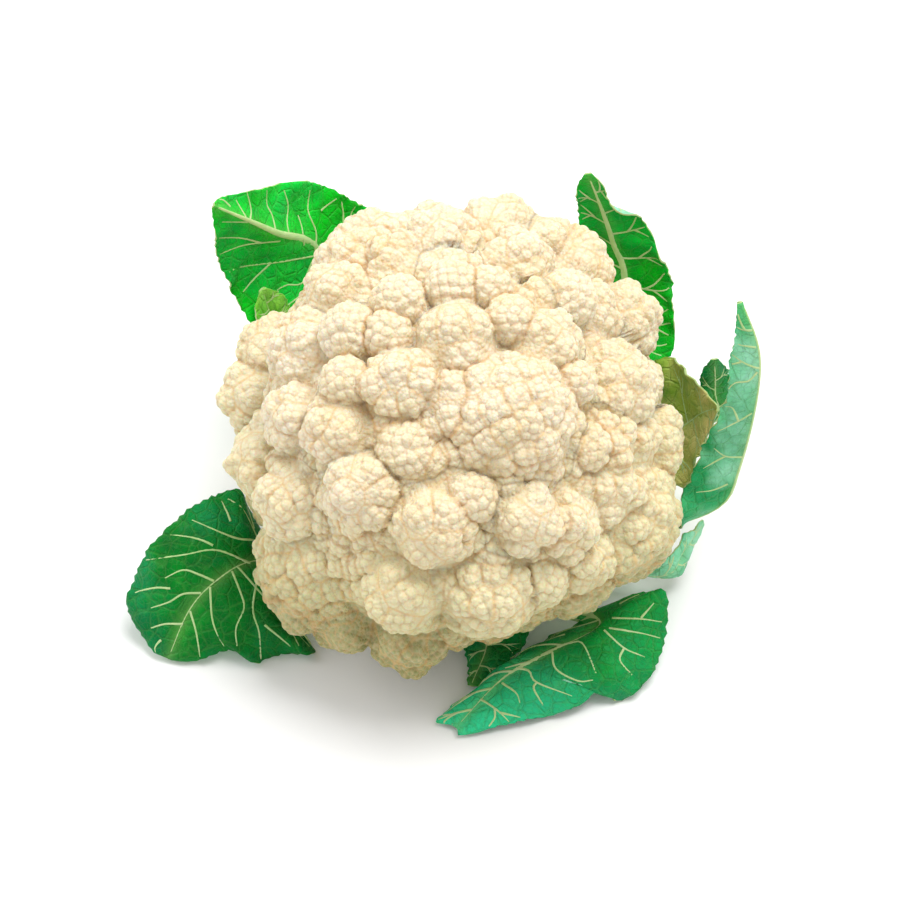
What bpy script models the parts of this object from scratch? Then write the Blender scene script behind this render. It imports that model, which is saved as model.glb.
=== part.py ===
"""A cauliflower as it comes from the field: a white curd on its cut stalk, with its last leaves.

The row frame has its origin in the middle of the stalk's cut face, which lies flat on the surface.
+Z is up, and the front, where the head leans to, is -Y. Lengths in the lists are millimetres.
"""

import math
import random
from collections import namedtuple

import bmesh
import bpy
from mathutils import Matrix, Quaternion, Vector

MM = 0.001
GAP = 0.4  # left between pieces that touch
X_AXIS = Vector((1.0, 0.0, 0.0))
Z_AXIS = Vector((0.0, 0.0, 1.0))

# The curd's outer shape is an egg-like shell, leaning forward over the stalk.
HEAD_CENTRE = Vector((0.0, -8.0, 62.0))
HEAD_LEAN = math.radians(18.0)
HEAD_HALF_WIDTH = 82.0
HEAD_HALF_DEPTH = 90.0
HEAD_TO_CROWN = 76.0
HEAD_TO_UNDERSIDE = 52.0
CORE_DEPTH = 15.0  # from the shell in to the smooth core that the florets stand on
CORE_DIVISIONS = 3

HEAD_AXIS = Vector((0.0, -math.sin(HEAD_LEAN), math.cos(HEAD_LEAN)))
HEAD_BACK = Vector((0.0, math.cos(HEAD_LEAN), math.sin(HEAD_LEAN)))

# The florets at the front are placed as an eye sees them from in front and above.
SIGHT_ELEVATION = math.radians(48.0)
SIGHT_DISTANCE = 950.0
SIGHT_BACK = Vector((0.0, -math.cos(SIGHT_ELEVATION), math.sin(SIGHT_ELEVATION)))
SIGHT_UP = Vector((0.0, math.sin(SIGHT_ELEVATION), math.cos(SIGHT_ELEVATION)))

# Each floret seen from there: across and up from the head's centre, its radius, and how far it is sunk.
SEEN_FLORETS = [
    (21, 6, 24, -3), (-17, 18, 14, 0), (2, 34, 15, 0), (33, 32, 14, 0), (57, 17, 17, 0),
    (44, 19, 8, 2), (-49, 30, 16, 0), (-35, 36, 11, 0), (-37, 19, 9, 0), (-40, 2, 13, 0),
    (-69, 14, 14, 0), (-66, -9, 14, 0), (-62, 30, 14, 0), (-54, 6, 13, 1), (-31, 58, 18, 0),
    (-18, 47, 10, 0), (-22, 36, 9, 2), (1, 52, 10, 0), (-5, 68, 13, 0), (-24, 67, 15, 0),
    (17, 71, 16, 0), (-40, 50, 13, 0), (14, 52, 8, 1), (24, 61, 13, 0), (21, 41, 9, 1),
    (41, 48, 11, 0), (45, 60, 14, 0), (61, 41, 15, 0), (33, 67, 13, 0), (-31, -19, 14, 0),
    (-6, -32, 15, 0), (-43, -42, 27, 0), (-16, -55, 15, 0), (-14, -71, 15, 0), (-55, -23, 15, 0),
    (-52, -58, 13, 1), (-37, -66, 12, 0), (-15, -5, 11, 6), (8, -22, 9, 5), (27, -29, 13, 0),
    (57, -28, 25, 0), (72, -2, 13, 7), (13, -55, 17, 0), (46, -44, 13, 3), (44, -52, 13, 8),
    (31, -50, 11, 6), (48, -4, 9, 6),
]

# The florets that face away follow a golden-angle spiral down from the crown.
SPIRAL_FLORETS = 140
GOLDEN_ANGLE = math.pi * (3.0 - math.sqrt(5.0))
SPIRAL_END = math.radians(118.0)  # from the head's axis, where the curd turns in to the stalk
SPIRAL_RADIUS = (13.0, 16.0)  # at the crown and at the rim
SPIRAL_CROWDING = 0.54  # least distance between neighbours, as a share of their radii's sum

# Where the head's outline is seen drawn in: across, up, how far round that place, and how deep.
HOLLOWS = [(-56, 44, 22, 11), (22, -68, 30, 13)]

LARGE_FLORET = 16.5  # from this radius up, a seen floret carries knobs
KNOB_VALLEY = 0.925  # the radius between two knobs, as a share of that at a knob
FLORET_SEED = 7

STALK_RADIUS = 23.0
STALK_TOP_RADIUS = 24.5
STALK_HEIGHT = 16.0
STALK_SIDES = 32
STALK_BEVEL = 2.0
SEAT_TOP = 34.0  # how wide the seat under the curd spreads
SEAT_HEIGHT = 46.0
SEAT_SIDES = 20
BRANCH_RIM = math.radians(84.0)  # florets further than this from the axis get a branch
BRANCH_SIDES = 5
BRANCH_RADII = (6.5, 6.0)  # at the stalk and at the floret
BRANCH_FOOT = Vector((0.0, 0.0, 36.0))
STUB_AZIMUTHS = (92.0, 172.0, 236.0)  # cut leaf bases, in degrees from +X
STUB_RADII = (6.0, 5.0)
STUB_REACH = 34.0  # how far a stub's cut end is from the stalk's middle
STUB_HEIGHT = 7.8
STUB_RISE = 0.1
STUB_SIDES = 10

CURD_COLOUR = (0.86, 0.76, 0.55, 1.0)
STALK_COLOUR = (0.72, 0.76, 0.48, 1.0)
LEAF_COLOUR = (0.03, 0.22, 0.03, 1.0)
YOUNG_LEAF_COLOUR = (0.40, 0.42, 0.12, 1.0)

# A leaf is drawn by its midrib and its two margins. The foot's two points, by the stalk, are x, y and z.
# All others are across, up and height: where they are seen, and how high they stand above the surface.
# Left and right are as seen along the midrib with the leaf's upper face up.
Leaf = namedtuple("Leaf", "name foot rib left right petiole rib_width bulge wave waves large colour")
LEAVES = [
    Leaf(
        name="leaf_front_left",
        foot=((-23.5, -11, 8), (-46, -22, 9)),
        rib=((-69.5, -44.3, 24), (-83, -51.4, 24), (-92.6, -62, 16), (-100, -79, 2.5)),
        left=((-56, -66, 9), (-47.5, -76.2, 2), (-59.6, -77.7, 3), (-69, -80.1, 2), (-78, -76.2, 5),
              (-91.1, -80, 2)),
        right=((-71, -26, 30), (-78, -18.8, 38), (-98.9, -30.9, 34), (-111.3, -48, 22), (-114.2, -61, 12),
               (-106.4, -75.2, 4)),
        petiole=0.42, rib_width=5.5, bulge=3.0, wave=1.6, waves=5, large=True, colour=LEAF_COLOUR,
    ),
    Leaf(
        name="leaf_front_right",
        foot=((15.5, -21, 8), (31, -39, 9)),
        rib=((53.2, -66, 13), (33.7, -77.3, 14), (18, -86.5, 9), (2, -103.5, 2.5)),
        left=((74, -54, 22), (77.3, -64.2, 15), (73, -82, 6), (61, -94, 2), (53.2, -89.5, 6),
              (44, -96.5, 4), (19.9, -102.5, 3), (4, -106.2, 2)),
        right=((44, -67, 9), (30, -75, 9), (17.7, -83.7, 6), (8.5, -91.1, 3), (-5, -100.5, 2)),
        petiole=0.36, rib_width=5.5, bulge=3.0, wave=1.2, waves=5, large=True, colour=LEAF_COLOUR,
    ),
    Leaf(
        name="leaf_front_dark",
        foot=((1, -26, 7), (5, -38, 7)),
        rib=((13, -72, 6), (7.5, -88.5, 3)),
        left=((28, -62, 9), (27, -72, 7), (14, -88, 4)),
        right=((3, -68, 5), (6, -80, 3)),
        petiole=0.30, rib_width=4.0, bulge=1.0, wave=1.0, waves=3, large=False, colour=LEAF_COLOUR,
    ),
    Leaf(
        name="leaf_back_left",
        foot=((-13, 22.5, 9), (-31, 50, 26)),
        rib=((-44, 63.1, 64), (-62, 72.3, 92), (-83.5, 81.6, 118)),
        left=((-52, 40, 50), (-68.8, 37.9, 60), (-75.2, 48.2, 72), (-81.4, 61, 90), (-84, 76.6, 110)),
        right=((-25, 74, 70), (-37.2, 85.1, 82), (-52, 90.4, 97), (-66.7, 87.6, 107), (-80, 85, 116)),
        petiole=0.42, rib_width=5.5, bulge=-3.0, wave=1.6, waves=5, large=True, colour=LEAF_COLOUR,
    ),
    Leaf(
        name="leaf_back_left_small",
        foot=((-21, 15, 8), (-46, 35, 17)),
        rib=((-61, 37, 57), (-66.7, 52.1, 77)),
        left=((-65, 33, 57), (-69, 42, 69)),
        right=((-56, 40, 57), (-58, 49, 68)),
        petiole=0.55, rib_width=3.5, bulge=0.5, wave=0.6, waves=3, large=False, colour=YOUNG_LEAF_COLOUR,
    ),
    Leaf(
        name="leaf_back_right",
        foot=((13, 22.5, 9), (36, 46, 24)),
        rib=((60.3, 50, 58), (57.4, 69.5, 80), (48.9, 92.9, 115)),
        left=((40, 55, 58), (43, 67, 74), (45.7, 75.5, 88), (45, 87.2, 106)),
        right=((76, 27, 40), (79.4, 41.1, 52), (76.5, 60, 72), (67, 77, 92), (57, 81, 99), (54.5, 88, 108)),
        petiole=0.40, rib_width=5.0, bulge=-2.0, wave=2.0, waves=5, large=True, colour=LEAF_COLOUR,
    ),
    Leaf(
        name="leaf_right_inner",
        foot=((25, 8, 8), (52, 15, 14)),
        rib=((80, 2, 34), (89, 8, 50), (94.7, 9.9, 62)),
        left=((70, 18, 38), (73, 26.6, 50), (79, 27.2, 54), (87, 19, 59)),
        right=((82, -18, 24), (87, -10, 38), (92, 2.5, 52)),
        petiole=0.40, rib_width=4.2, bulge=-1.0, wave=0.6, waves=3, large=False, colour=YOUNG_LEAF_COLOUR,
    ),
    Leaf(
        name="leaf_right_dark",
        foot=((20.5, 16, 9), (56, 33, 16)),
        rib=((92, 4, 36), (94, 16, 56), (93.8, 27, 72)),
        left=((88, 8, 42), (88.7, 21, 62)),
        right=((98, 8, 40), (99.5, 21, 61)),
        petiole=0.50, rib_width=3.5, bulge=0.5, wave=0.6, waves=3, large=False, colour=LEAF_COLOUR,
    ),
    Leaf(
        name="leaf_right_upright",
        foot=((26, -2.5, 9), (55, -11, 12)),
        rib=((92.2, -26.6, 30), (102.8, -9.9, 52), (109.6, 24.8, 98), (103.2, 47.5, 122)),
        left=((90, -18, 36), (96, -6, 52), (99.5, 7.7, 68), (102, 20, 86), (101.5, 34, 106)),
        right=((81, -26.6, 35), (83.5, -18, 45), (92.6, 2.5, 70), (98.2, 14, 85), (99, 25, 97),
               (101.5, 38, 112)),
        petiole=0.36, rib_width=5.0, bulge=1.5, wave=1.0, waves=5, large=True, colour=LEAF_COLOUR,
    ),
    Leaf(
        name="leaf_right_low",
        foot=((22.5, -13, 8), (50, -23, 8)),
        rib=((75.5, -49, 12), (82, -41, 17), (89.5, -30.5, 19)),
        left=((80, -49, 8), (86, -39, 13)),
        right=((75, -45, 17), (82, -36.5, 23)),
        petiole=0.52, rib_width=3.5, bulge=-1.0, wave=0.8, waves=4, large=False, colour=LEAF_COLOUR,
    ),
]

RIB_THICK = 1.0  # the midrib at its foot, as a share of its half width there
RIB_SHOULDER = 0.6  # its thickness half way down its side, as a share of that in its middle
RIB_TAPER = 0.7
RIB_TIP_HALF_WIDTH = 1.0
PETIOLE_SPREAD = 1.15  # the bare petiole's edge, as a share of the midrib's half width
MOST_RIB = 0.7  # the midrib takes no more of a narrow blade
BLADE_THICK = 1.0
TIP_HALF_WIDTH = 1.5
WAVE_LAG = 1.7  # the right margin's waves run this far behind the left's, in radians
LARGE_GRID = (8, 16)
SMALL_GRID = (6, 9)
SMOOTH_ANGLE = math.radians(50.0)


def clear_scene():
    for thing in list(bpy.data.objects):
        bpy.data.objects.remove(thing)


def new_collection(name):
    made = bpy.data.collections.new(name)
    bpy.context.scene.collection.children.link(made)
    return made


def material(name, colour, roughness):
    made = bpy.data.materials.new(name)
    made.use_nodes = True
    shader = made.node_tree.nodes["Principled BSDF"]
    shader.inputs["Base Color"].default_value = colour
    shader.inputs["Roughness"].default_value = roughness
    made.diffuse_color = colour
    return made


def add_object(name, bm, collection):
    """Makes an object from a bmesh in millimetres."""
    bmesh.ops.scale(bm, vec=(MM, MM, MM), verts=bm.verts)
    mesh = bpy.data.meshes.new(name)
    bm.to_mesh(mesh)
    bm.free()
    thing = bpy.data.objects.new(name, mesh)
    collection.objects.link(thing)
    return thing


def finish(thing, look):
    """Gives an object its material and its smooth shading."""
    thing.data.materials.clear()
    thing.data.materials.append(look)
    thing.data.shade_smooth()
    thing.data.set_sharp_from_angle(angle=SMOOTH_ANGLE)


def in_head(point):
    """A point's place along the head's own three axes."""
    away = point - HEAD_CENTRE
    return Vector((away.x, away.dot(HEAD_BACK), away.dot(HEAD_AXIS)))


def shell_level(point, inset=0.0):
    """Under 1 inside the shell drawn in by inset, and over 1 outside it."""
    across, back, up = in_head(point)
    height = HEAD_TO_CROWN if up > 0 else HEAD_TO_UNDERSIDE
    return math.sqrt(
        (across / (HEAD_HALF_WIDTH - inset)) ** 2
        + (back / (HEAD_HALF_DEPTH - inset)) ** 2
        + (up / (height - inset)) ** 2
    )


def sight_line(across, up):
    """The eye, and the direction from it through that place in the picture."""
    eye = HEAD_CENTRE + SIGHT_BACK * SIGHT_DISTANCE
    middle = HEAD_CENTRE + X_AXIS * across + SIGHT_UP * up
    return eye, (middle - eye).normalized()


def seen_on_shell(across, up, inset):
    """Where the sight line first meets the shell, or comes nearest to it."""
    eye, line = sight_line(across, up)
    steps = 240
    nearest = None
    for step in range(steps + 1):
        point = eye + line * (SIGHT_DISTANCE + HEAD_HALF_DEPTH * (2.0 * step / steps - 1.0))
        level = shell_level(point, inset)
        if level <= 1.0:
            return point
        if nearest is None or level < nearest[0]:
            nearest = (level, point)
    return nearest[1]


def seen_place(point):
    """Where a point is seen, across and up from the head's centre."""
    away = point - HEAD_CENTRE
    nearer = SIGHT_DISTANCE / (SIGHT_DISTANCE - away.dot(SIGHT_BACK))
    return away.x * nearer, away.dot(SIGHT_UP) * nearer


def seen_at_height(across, up, height):
    """Where the sight line comes to that height above the surface."""
    eye, line = sight_line(across, up)
    return eye + line * ((height - eye.z) / line.z)


def spiral_on_shell(turn, inset):
    """The place of one step of the spiral, from the crown down to the rim."""
    share = (turn + 0.5) / SPIRAL_FLORETS
    polar = math.acos(1.0 - share * (1.0 - math.cos(SPIRAL_END)))
    angle = turn * GOLDEN_ANGLE
    ray = (
        X_AXIS * (math.sin(polar) * math.cos(angle))
        + HEAD_BACK * (math.sin(polar) * math.sin(angle))
        + HEAD_AXIS * math.cos(polar)
    )
    return HEAD_CENTRE + ray / shell_level(HEAD_CENTRE + ray, inset)


def drawn_in(centre):
    """An unseen floret's centre, sunk towards the head's middle where the outline has a hollow."""
    seen_across, seen_up = seen_place(centre)
    sink = 0.0
    for across, up, reach, deepest in HOLLOWS:
        away = math.hypot(seen_across - across, seen_up - up)
        sink = max(sink, deepest * (1.0 - (away / reach) ** 2))
    return centre + (HEAD_CENTRE - centre).normalized() * sink


def floret_list():
    """Every floret as (centre, radius, seen): those seen from the front, then the spiral fills the rest."""
    placed = []
    for across, up, radius, sunk in SEEN_FLORETS:
        placed.append((seen_on_shell(across, up, radius + sunk), float(radius), True))
    for turn in range(SPIRAL_FLORETS):
        share = (turn + 0.5) / SPIRAL_FLORETS
        radius = SPIRAL_RADIUS[0] + (SPIRAL_RADIUS[1] - SPIRAL_RADIUS[0]) * share
        centre = spiral_on_shell(turn, radius)
        apart = [(centre - other).length / (radius + size) for other, size, _ in placed]
        if min(apart) > SPIRAL_CROWDING:
            placed.append((centre, radius, False))
    return [(centre if seen else drawn_in(centre), radius, seen) for centre, radius, seen in placed]


def floret(centre, radius, large, draw, collection):
    """One floret. A large one is knobbly: the corners of a coarser ball stand out of it."""
    knobs = bmesh.new()
    bmesh.ops.create_icosphere(knobs, subdivisions=2, radius=1.0)
    tops = [corner.co.normalized() for corner in knobs.verts]
    knobs.free()
    bm = bmesh.new()
    bmesh.ops.create_icosphere(bm, subdivisions=3 if large else 2, radius=1.0)
    if large:
        for corner in bm.verts:
            on_top = any(corner.co.dot(top) > 0.999 for top in tops)
            corner.co *= 1.0 if on_top else KNOB_VALLEY
    turned = Quaternion([draw.gauss(0.0, 1.0) for _ in range(4)]).normalized().to_matrix().to_4x4()
    place = Matrix.Translation(centre) @ turned @ Matrix.Scale(radius, 4)
    bmesh.ops.transform(bm, matrix=place, verts=bm.verts)
    add_object("floret", bm, collection)


def cone_between(foot, head, foot_radius, head_radius, sides, name, collection):
    """A tapered stick from foot to head."""
    way = head - foot
    bm = bmesh.new()
    bmesh.ops.create_cone(
        bm, cap_ends=True, segments=sides, radius1=foot_radius, radius2=head_radius, depth=way.length
    )
    turned = Z_AXIS.rotation_difference(way).to_matrix().to_4x4()
    bmesh.ops.transform(bm, matrix=Matrix.Translation((foot + head) / 2) @ turned, verts=bm.verts)
    add_object(name, bm, collection)


def fill_pockets(mesh):
    """Closes the sealed hollows that florets leave between them: only the outermost skin stays."""
    bm = bmesh.new()
    bm.from_mesh(mesh)
    skins = []
    unseen = set(bm.verts)
    while unseen:
        skin = {unseen.pop()}
        edge_of_skin = list(skin)
        while edge_of_skin:
            corner = edge_of_skin.pop()
            for edge in corner.link_edges:
                other = edge.other_vert(corner)
                if other not in skin:
                    skin.add(other)
                    edge_of_skin.append(other)
        unseen -= skin
        skins.append(skin)
    outermost = max(skins, key=len)
    inner = [corner for skin in skins if skin is not outermost for corner in skin]
    bmesh.ops.delete(bm, geom=inner, context="VERTS")
    bm.to_mesh(mesh)
    bm.free()


def union(base, pieces):
    """Joins a collection's objects to base in one Boolean, and removes them."""
    join = base.modifiers.new("join", "BOOLEAN")
    join.operation = "UNION"
    join.operand_type = "COLLECTION"
    join.collection = pieces
    join.solver = "MANIFOLD"
    graph = bpy.context.evaluated_depsgraph_get()
    joined = bpy.data.meshes.new_from_object(base.evaluated_get(graph))
    base.modifiers.clear()
    fill_pockets(joined)
    base.data = joined
    for piece in list(pieces.objects):
        bpy.data.objects.remove(piece)
    bpy.data.collections.remove(pieces)


def build_curd(parts, look):
    """The head: florets on a core, and the branches under the rim that lead to the stalk."""
    pieces = new_collection("curd pieces")
    draw = random.Random(FLORET_SEED)
    florets = floret_list()
    for centre, radius, seen in florets:
        floret(centre, radius, seen and radius >= LARGE_FLORET, draw, pieces)
    for centre, _, seen in florets:
        if not seen and (centre - HEAD_CENTRE).angle(HEAD_AXIS) > BRANCH_RIM:
            cone_between(BRANCH_FOOT, centre, *BRANCH_RADII, BRANCH_SIDES, "branch", pieces)
    seat = Z_AXIS * (STALK_HEIGHT + GAP)
    cone_between(seat, Z_AXIS * SEAT_HEIGHT, STALK_TOP_RADIUS - 1.0, SEAT_TOP, SEAT_SIDES, "seat", pieces)

    bm = bmesh.new()
    bmesh.ops.create_icosphere(bm, subdivisions=CORE_DIVISIONS, radius=1.0)
    for corner in bm.verts:
        ray = X_AXIS * corner.co.x + HEAD_BACK * corner.co.y + HEAD_AXIS * corner.co.z
        corner.co = HEAD_CENTRE + ray / shell_level(HEAD_CENTRE + ray, CORE_DEPTH)
    curd = add_object("curd", bm, parts)
    union(curd, pieces)
    finish(curd, look)


def build_stalk(parts, look):
    """The stump under the curd: a cut face to rest on, and the stubs of the leaves cut off."""
    pieces = new_collection("stalk pieces")
    for azimuth in STUB_AZIMUTHS:
        out = Vector((math.cos(math.radians(azimuth)), math.sin(math.radians(azimuth)), STUB_RISE))
        middle = Z_AXIS * STUB_HEIGHT
        foot, head = middle + out * STALK_RADIUS / 2, middle + out * STUB_REACH
        cone_between(foot, head, *STUB_RADII, STUB_SIDES, "stub", pieces)
    bm = bmesh.new()
    bmesh.ops.create_cone(
        bm, cap_ends=True, segments=STALK_SIDES, depth=STALK_HEIGHT,
        radius1=STALK_RADIUS, radius2=STALK_TOP_RADIUS,
    )
    bmesh.ops.translate(bm, verts=bm.verts, vec=Z_AXIS * STALK_HEIGHT / 2)
    foot_ring = [edge for edge in bm.edges if all(corner.co.z < 0.01 for corner in edge.verts)]
    bmesh.ops.bevel(bm, geom=foot_ring, offset=STALK_BEVEL, segments=2, affect="EDGES", profile=0.5)
    stalk = add_object("stalk", bm, parts)
    union(stalk, pieces)
    finish(stalk, look)


def along(points, share):
    """A smooth curve through the points, at a share of its length."""
    lengths = [0.0]
    for here, there in zip(points, points[1:]):
        lengths.append(lengths[-1] + (there - here).length)
    place = min(max(share, 0.0), 1.0) * lengths[-1]
    span = max(index for index in range(len(points) - 1) if lengths[index] <= place)
    t = (place - lengths[span]) / (lengths[span + 1] - lengths[span])
    here, there = points[span], points[span + 1]
    before = points[span - 1] if span else here * 2 - there
    after = points[span + 2] if span + 2 < len(points) else there * 2 - here
    return 0.5 * (
        here * 2
        + (there - before) * t
        + (before * 2 - here * 5 + there * 4 - after) * t**2
        + (here * 3 - before - there * 3 + after) * t**3
    )


def rib_half_width(leaf, share):
    return leaf.rib_width + (RIB_TIP_HALF_WIDTH - leaf.rib_width) * share**RIB_TAPER


def rib_points(leaf):
    return [Vector(point) for point in leaf.foot] + [seen_at_height(*point) for point in leaf.rib]


def rib_ahead(leaf, share):
    points = rib_points(leaf)
    return (along(points, share + 0.01) - along(points, share - 0.01)).normalized()


def petiole_edge(leaf, share, right):
    """The edge of the bare petiole, which lies level."""
    side = rib_ahead(leaf, 0.0).cross(Z_AXIS).normalized() * (1.0 if right else -1.0)
    return along(rib_points(leaf), share) + side * rib_half_width(leaf, share) * PETIOLE_SPREAD


def margin_points(leaf, right):
    """The blade's margin, from the petiole's edge to the blunt tip."""
    drawn = [seen_at_height(*point) for point in (leaf.right if right else leaf.left)]
    tip = along(rib_points(leaf), 1.0)
    ahead = rib_ahead(leaf, 1.0)
    out = drawn[-1] - tip
    out = (out - ahead * out.dot(ahead)).normalized()
    return [petiole_edge(leaf, leaf.petiole, right), *drawn, tip + out * TIP_HALF_WIDTH]


def margin_point(leaf, share, right):
    """The margin beside that share of the midrib."""
    if share <= leaf.petiole:
        return petiole_edge(leaf, share, right)
    return along(margin_points(leaf, right), (share - leaf.petiole) / (1.0 - leaf.petiole))


def leaf_point(leaf, share, reach):
    """The upper face, at a share of the midrib and a signed share of the way to the margin."""
    right = reach > 0
    rib = along(rib_points(leaf), share)
    out = margin_point(leaf, share, right) - rib
    face = (out.cross(rib_ahead(leaf, share)) * (1.0 if right else -1.0)).normalized()
    blade = max(share - leaf.petiole, 0.0) / (1.0 - leaf.petiole)
    bulge = leaf.bulge * math.sin(math.pi * abs(reach))
    turn = 2 * math.pi * leaf.waves * blade + (WAVE_LAG if right else 0.0)
    wave = leaf.wave * reach**2 * math.sin(turn)
    return rib + out * abs(reach) + face * ((bulge + wave) * math.sin(math.pi * blade))


def build_leaf(leaf, parts):
    """A leaf is a grid bent to its surface, thickest along the midrib."""
    columns, rows = LARGE_GRID if leaf.large else SMALL_GRID
    bm = bmesh.new()
    bmesh.ops.create_grid(bm, x_segments=columns, y_segments=rows, size=1.0)
    thickness = []
    for corner in bm.verts:
        column = round(corner.co.x * columns / 2)
        share = (corner.co.y + 1.0) / 2.0
        rib_half = rib_half_width(leaf, share)
        half = (margin_point(leaf, share, column > 0) - along(rib_points(leaf), share)).length
        edge = min(rib_half / half, MOST_RIB)
        if abs(column) <= 1:
            reach = column * edge
        else:
            outer = (abs(column) - 1) / (columns / 2 - 1)
            reach = math.copysign(edge + (1.0 - edge) * outer, column)
        corner.co = leaf_point(leaf, share, reach)
        rib_height = RIB_THICK * leaf.rib_width * (1.0 - share)
        thickness.append(max(BLADE_THICK, rib_height * {0: 1.0, 1: RIB_SHOULDER}.get(abs(column), 0.0)))
    thing = add_object(leaf.name, bm, parts)
    finish(thing, material(leaf.name, leaf.colour, 0.45))
    group = thing.vertex_groups.new(name="thickness")
    thickest = max(thickness)
    least = BLADE_THICK / thickest
    for index, thick in enumerate(thickness):
        group.add([index], (thick / thickest - least) / (1.0 - least), "REPLACE")
    split = thing.modifiers.new("split", "TRIANGULATE")
    split.quad_method = "FIXED"
    shell = thing.modifiers.new("shell", "SOLIDIFY")
    shell.thickness = thickest * MM
    shell.offset = -1.0
    shell.vertex_group = group.name
    shell.thickness_vertex_group = least


def main():
    clear_scene()
    parts = new_collection("cauliflower")
    build_curd(parts, material("curd", CURD_COLOUR, 0.6))
    build_stalk(parts, material("stalk", STALK_COLOUR, 0.5))
    for leaf in LEAVES:
        build_leaf(leaf, parts)


main()
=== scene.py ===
# %% [markdown]
# # A cauliflower, from its plain solids to its finished look
#
# The frame holds a plain model of the whole head: a curd, a stalk and ten leaves. This lesson dresses
# it. Every piece made here stands where a plain solid stands, and hides that solid. Lengths are worked
# out in millimetres, and turned into metres when a mesh is filled.

# %% The frame and its size
import math
from collections import namedtuple

import bpy
import numpy as np
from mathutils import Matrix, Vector
from mathutils.bvhtree import BVHTree
from mathutils.kdtree import KDTree


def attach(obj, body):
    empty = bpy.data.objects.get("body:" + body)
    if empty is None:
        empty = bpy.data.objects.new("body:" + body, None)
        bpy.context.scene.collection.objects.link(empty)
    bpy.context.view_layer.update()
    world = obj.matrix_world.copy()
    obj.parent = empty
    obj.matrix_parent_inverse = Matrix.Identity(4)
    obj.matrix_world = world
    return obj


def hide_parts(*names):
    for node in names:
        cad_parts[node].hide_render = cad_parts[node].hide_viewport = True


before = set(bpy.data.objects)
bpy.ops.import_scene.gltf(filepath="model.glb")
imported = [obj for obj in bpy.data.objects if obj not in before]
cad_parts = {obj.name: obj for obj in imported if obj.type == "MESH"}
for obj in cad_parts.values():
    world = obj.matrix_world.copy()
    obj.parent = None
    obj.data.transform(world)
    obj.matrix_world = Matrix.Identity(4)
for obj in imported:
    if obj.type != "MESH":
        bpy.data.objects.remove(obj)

MM = 0.001
X_AXIS = Vector((1.0, 0.0, 0.0))
Z_AXIS = Vector((0.0, 0.0, 1.0))
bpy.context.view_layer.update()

# %% [markdown]
# ## The head's shape and the line of sight
#
# A curd is a dome of florets, all standing on one egg-like shell that leans forward over the stalk. The
# florets and the leaves' edges are placed as an eye sees them from in front and above, so one small set
# of values says both where the eye is and how a place in the picture becomes a place in space.

# %% The shell and the sight line
HEAD_CENTRE = Vector((0.0, -8.0, 62.0))
HEAD_LEAN = math.radians(18.0)
HEAD_HALF_WIDTH = 82.0
HEAD_HALF_DEPTH = 90.0
HEAD_TO_CROWN = 76.0
HEAD_TO_UNDERSIDE = 52.0
HEAD_AXIS = Vector((0.0, -math.sin(HEAD_LEAN), math.cos(HEAD_LEAN)))
HEAD_BACK = Vector((0.0, math.cos(HEAD_LEAN), math.sin(HEAD_LEAN)))

SIGHT_ELEVATION = math.radians(48.0)
SIGHT_DISTANCE = 950.0
SIGHT_STEPS = 240
SIGHT_BACK = Vector((0.0, -math.cos(SIGHT_ELEVATION), math.sin(SIGHT_ELEVATION)))
SIGHT_UP = Vector((0.0, math.sin(SIGHT_ELEVATION), math.cos(SIGHT_ELEVATION)))
EYE = HEAD_CENTRE + SIGHT_BACK * SIGHT_DISTANCE

PICTURE_WIDTH = 900
PICTURE_PIXELS_PER_MM = 2.82
PICTURE_HEAD_CENTRE = (450, 436)  # where the head's centre is in the picture, in pixels


def in_head(point):
    """A point's place along the head's own three axes."""
    away = point - HEAD_CENTRE
    return Vector((away.x, away.dot(HEAD_BACK), away.dot(HEAD_AXIS)))


def shell_sizes(up, inset):
    height = HEAD_TO_CROWN if up > 0 else HEAD_TO_UNDERSIDE
    return HEAD_HALF_WIDTH - inset, HEAD_HALF_DEPTH - inset, height - inset


def shell_level(point, inset=0.0):
    """Under 1 inside the shell drawn in by inset, and over 1 outside it."""
    place = in_head(point)
    return math.sqrt(sum((way / size) ** 2 for way, size in zip(place, shell_sizes(place.z, inset))))


def shell_normal(point):
    """The way out of the shell there."""
    place = in_head(point)
    across, back, up = (way / size**2 for way, size in zip(place, shell_sizes(place.z, 0.0)))
    return (X_AXIS * across + HEAD_BACK * back + HEAD_AXIS * up).normalized()


def sight_line(across, up):
    """The direction from the eye through that place beside the head's centre."""
    return (HEAD_CENTRE + X_AXIS * across + SIGHT_UP * up - EYE).normalized()


def seen_on_shell(across, up, inset):
    """Where the sight line first meets the shell, or comes nearest to it."""
    line = sight_line(across, up)
    nearest = None
    for step in range(SIGHT_STEPS + 1):
        point = EYE + line * (SIGHT_DISTANCE + HEAD_HALF_DEPTH * (2.0 * step / SIGHT_STEPS - 1.0))
        level = shell_level(point, inset)
        if level <= 1.0:
            return point
        if nearest is None or level < nearest[0]:
            nearest = (level, point)
    return nearest[1]


def seen_place(point):
    """Where a point is seen, across and up from the head's centre."""
    away = point - HEAD_CENTRE
    nearer = SIGHT_DISTANCE / (SIGHT_DISTANCE - away.dot(SIGHT_BACK))
    return away.x * nearer, away.dot(SIGHT_UP) * nearer


def seen_at_height(across, up, height):
    """Where the sight line comes to that height above the surface."""
    line = sight_line(across, up)
    return EYE + line * ((height - EYE.z) / line.z)


def picture_line(pixel):
    """The direction from the eye through a pixel of the picture."""
    across = (pixel[0] - PICTURE_HEAD_CENTRE[0]) / PICTURE_PIXELS_PER_MM
    up = (PICTURE_HEAD_CENTRE[1] - pixel[1]) / PICTURE_PIXELS_PER_MM
    return sight_line(across, up)


print("eye, mm:", [round(value) for value in EYE])

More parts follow.
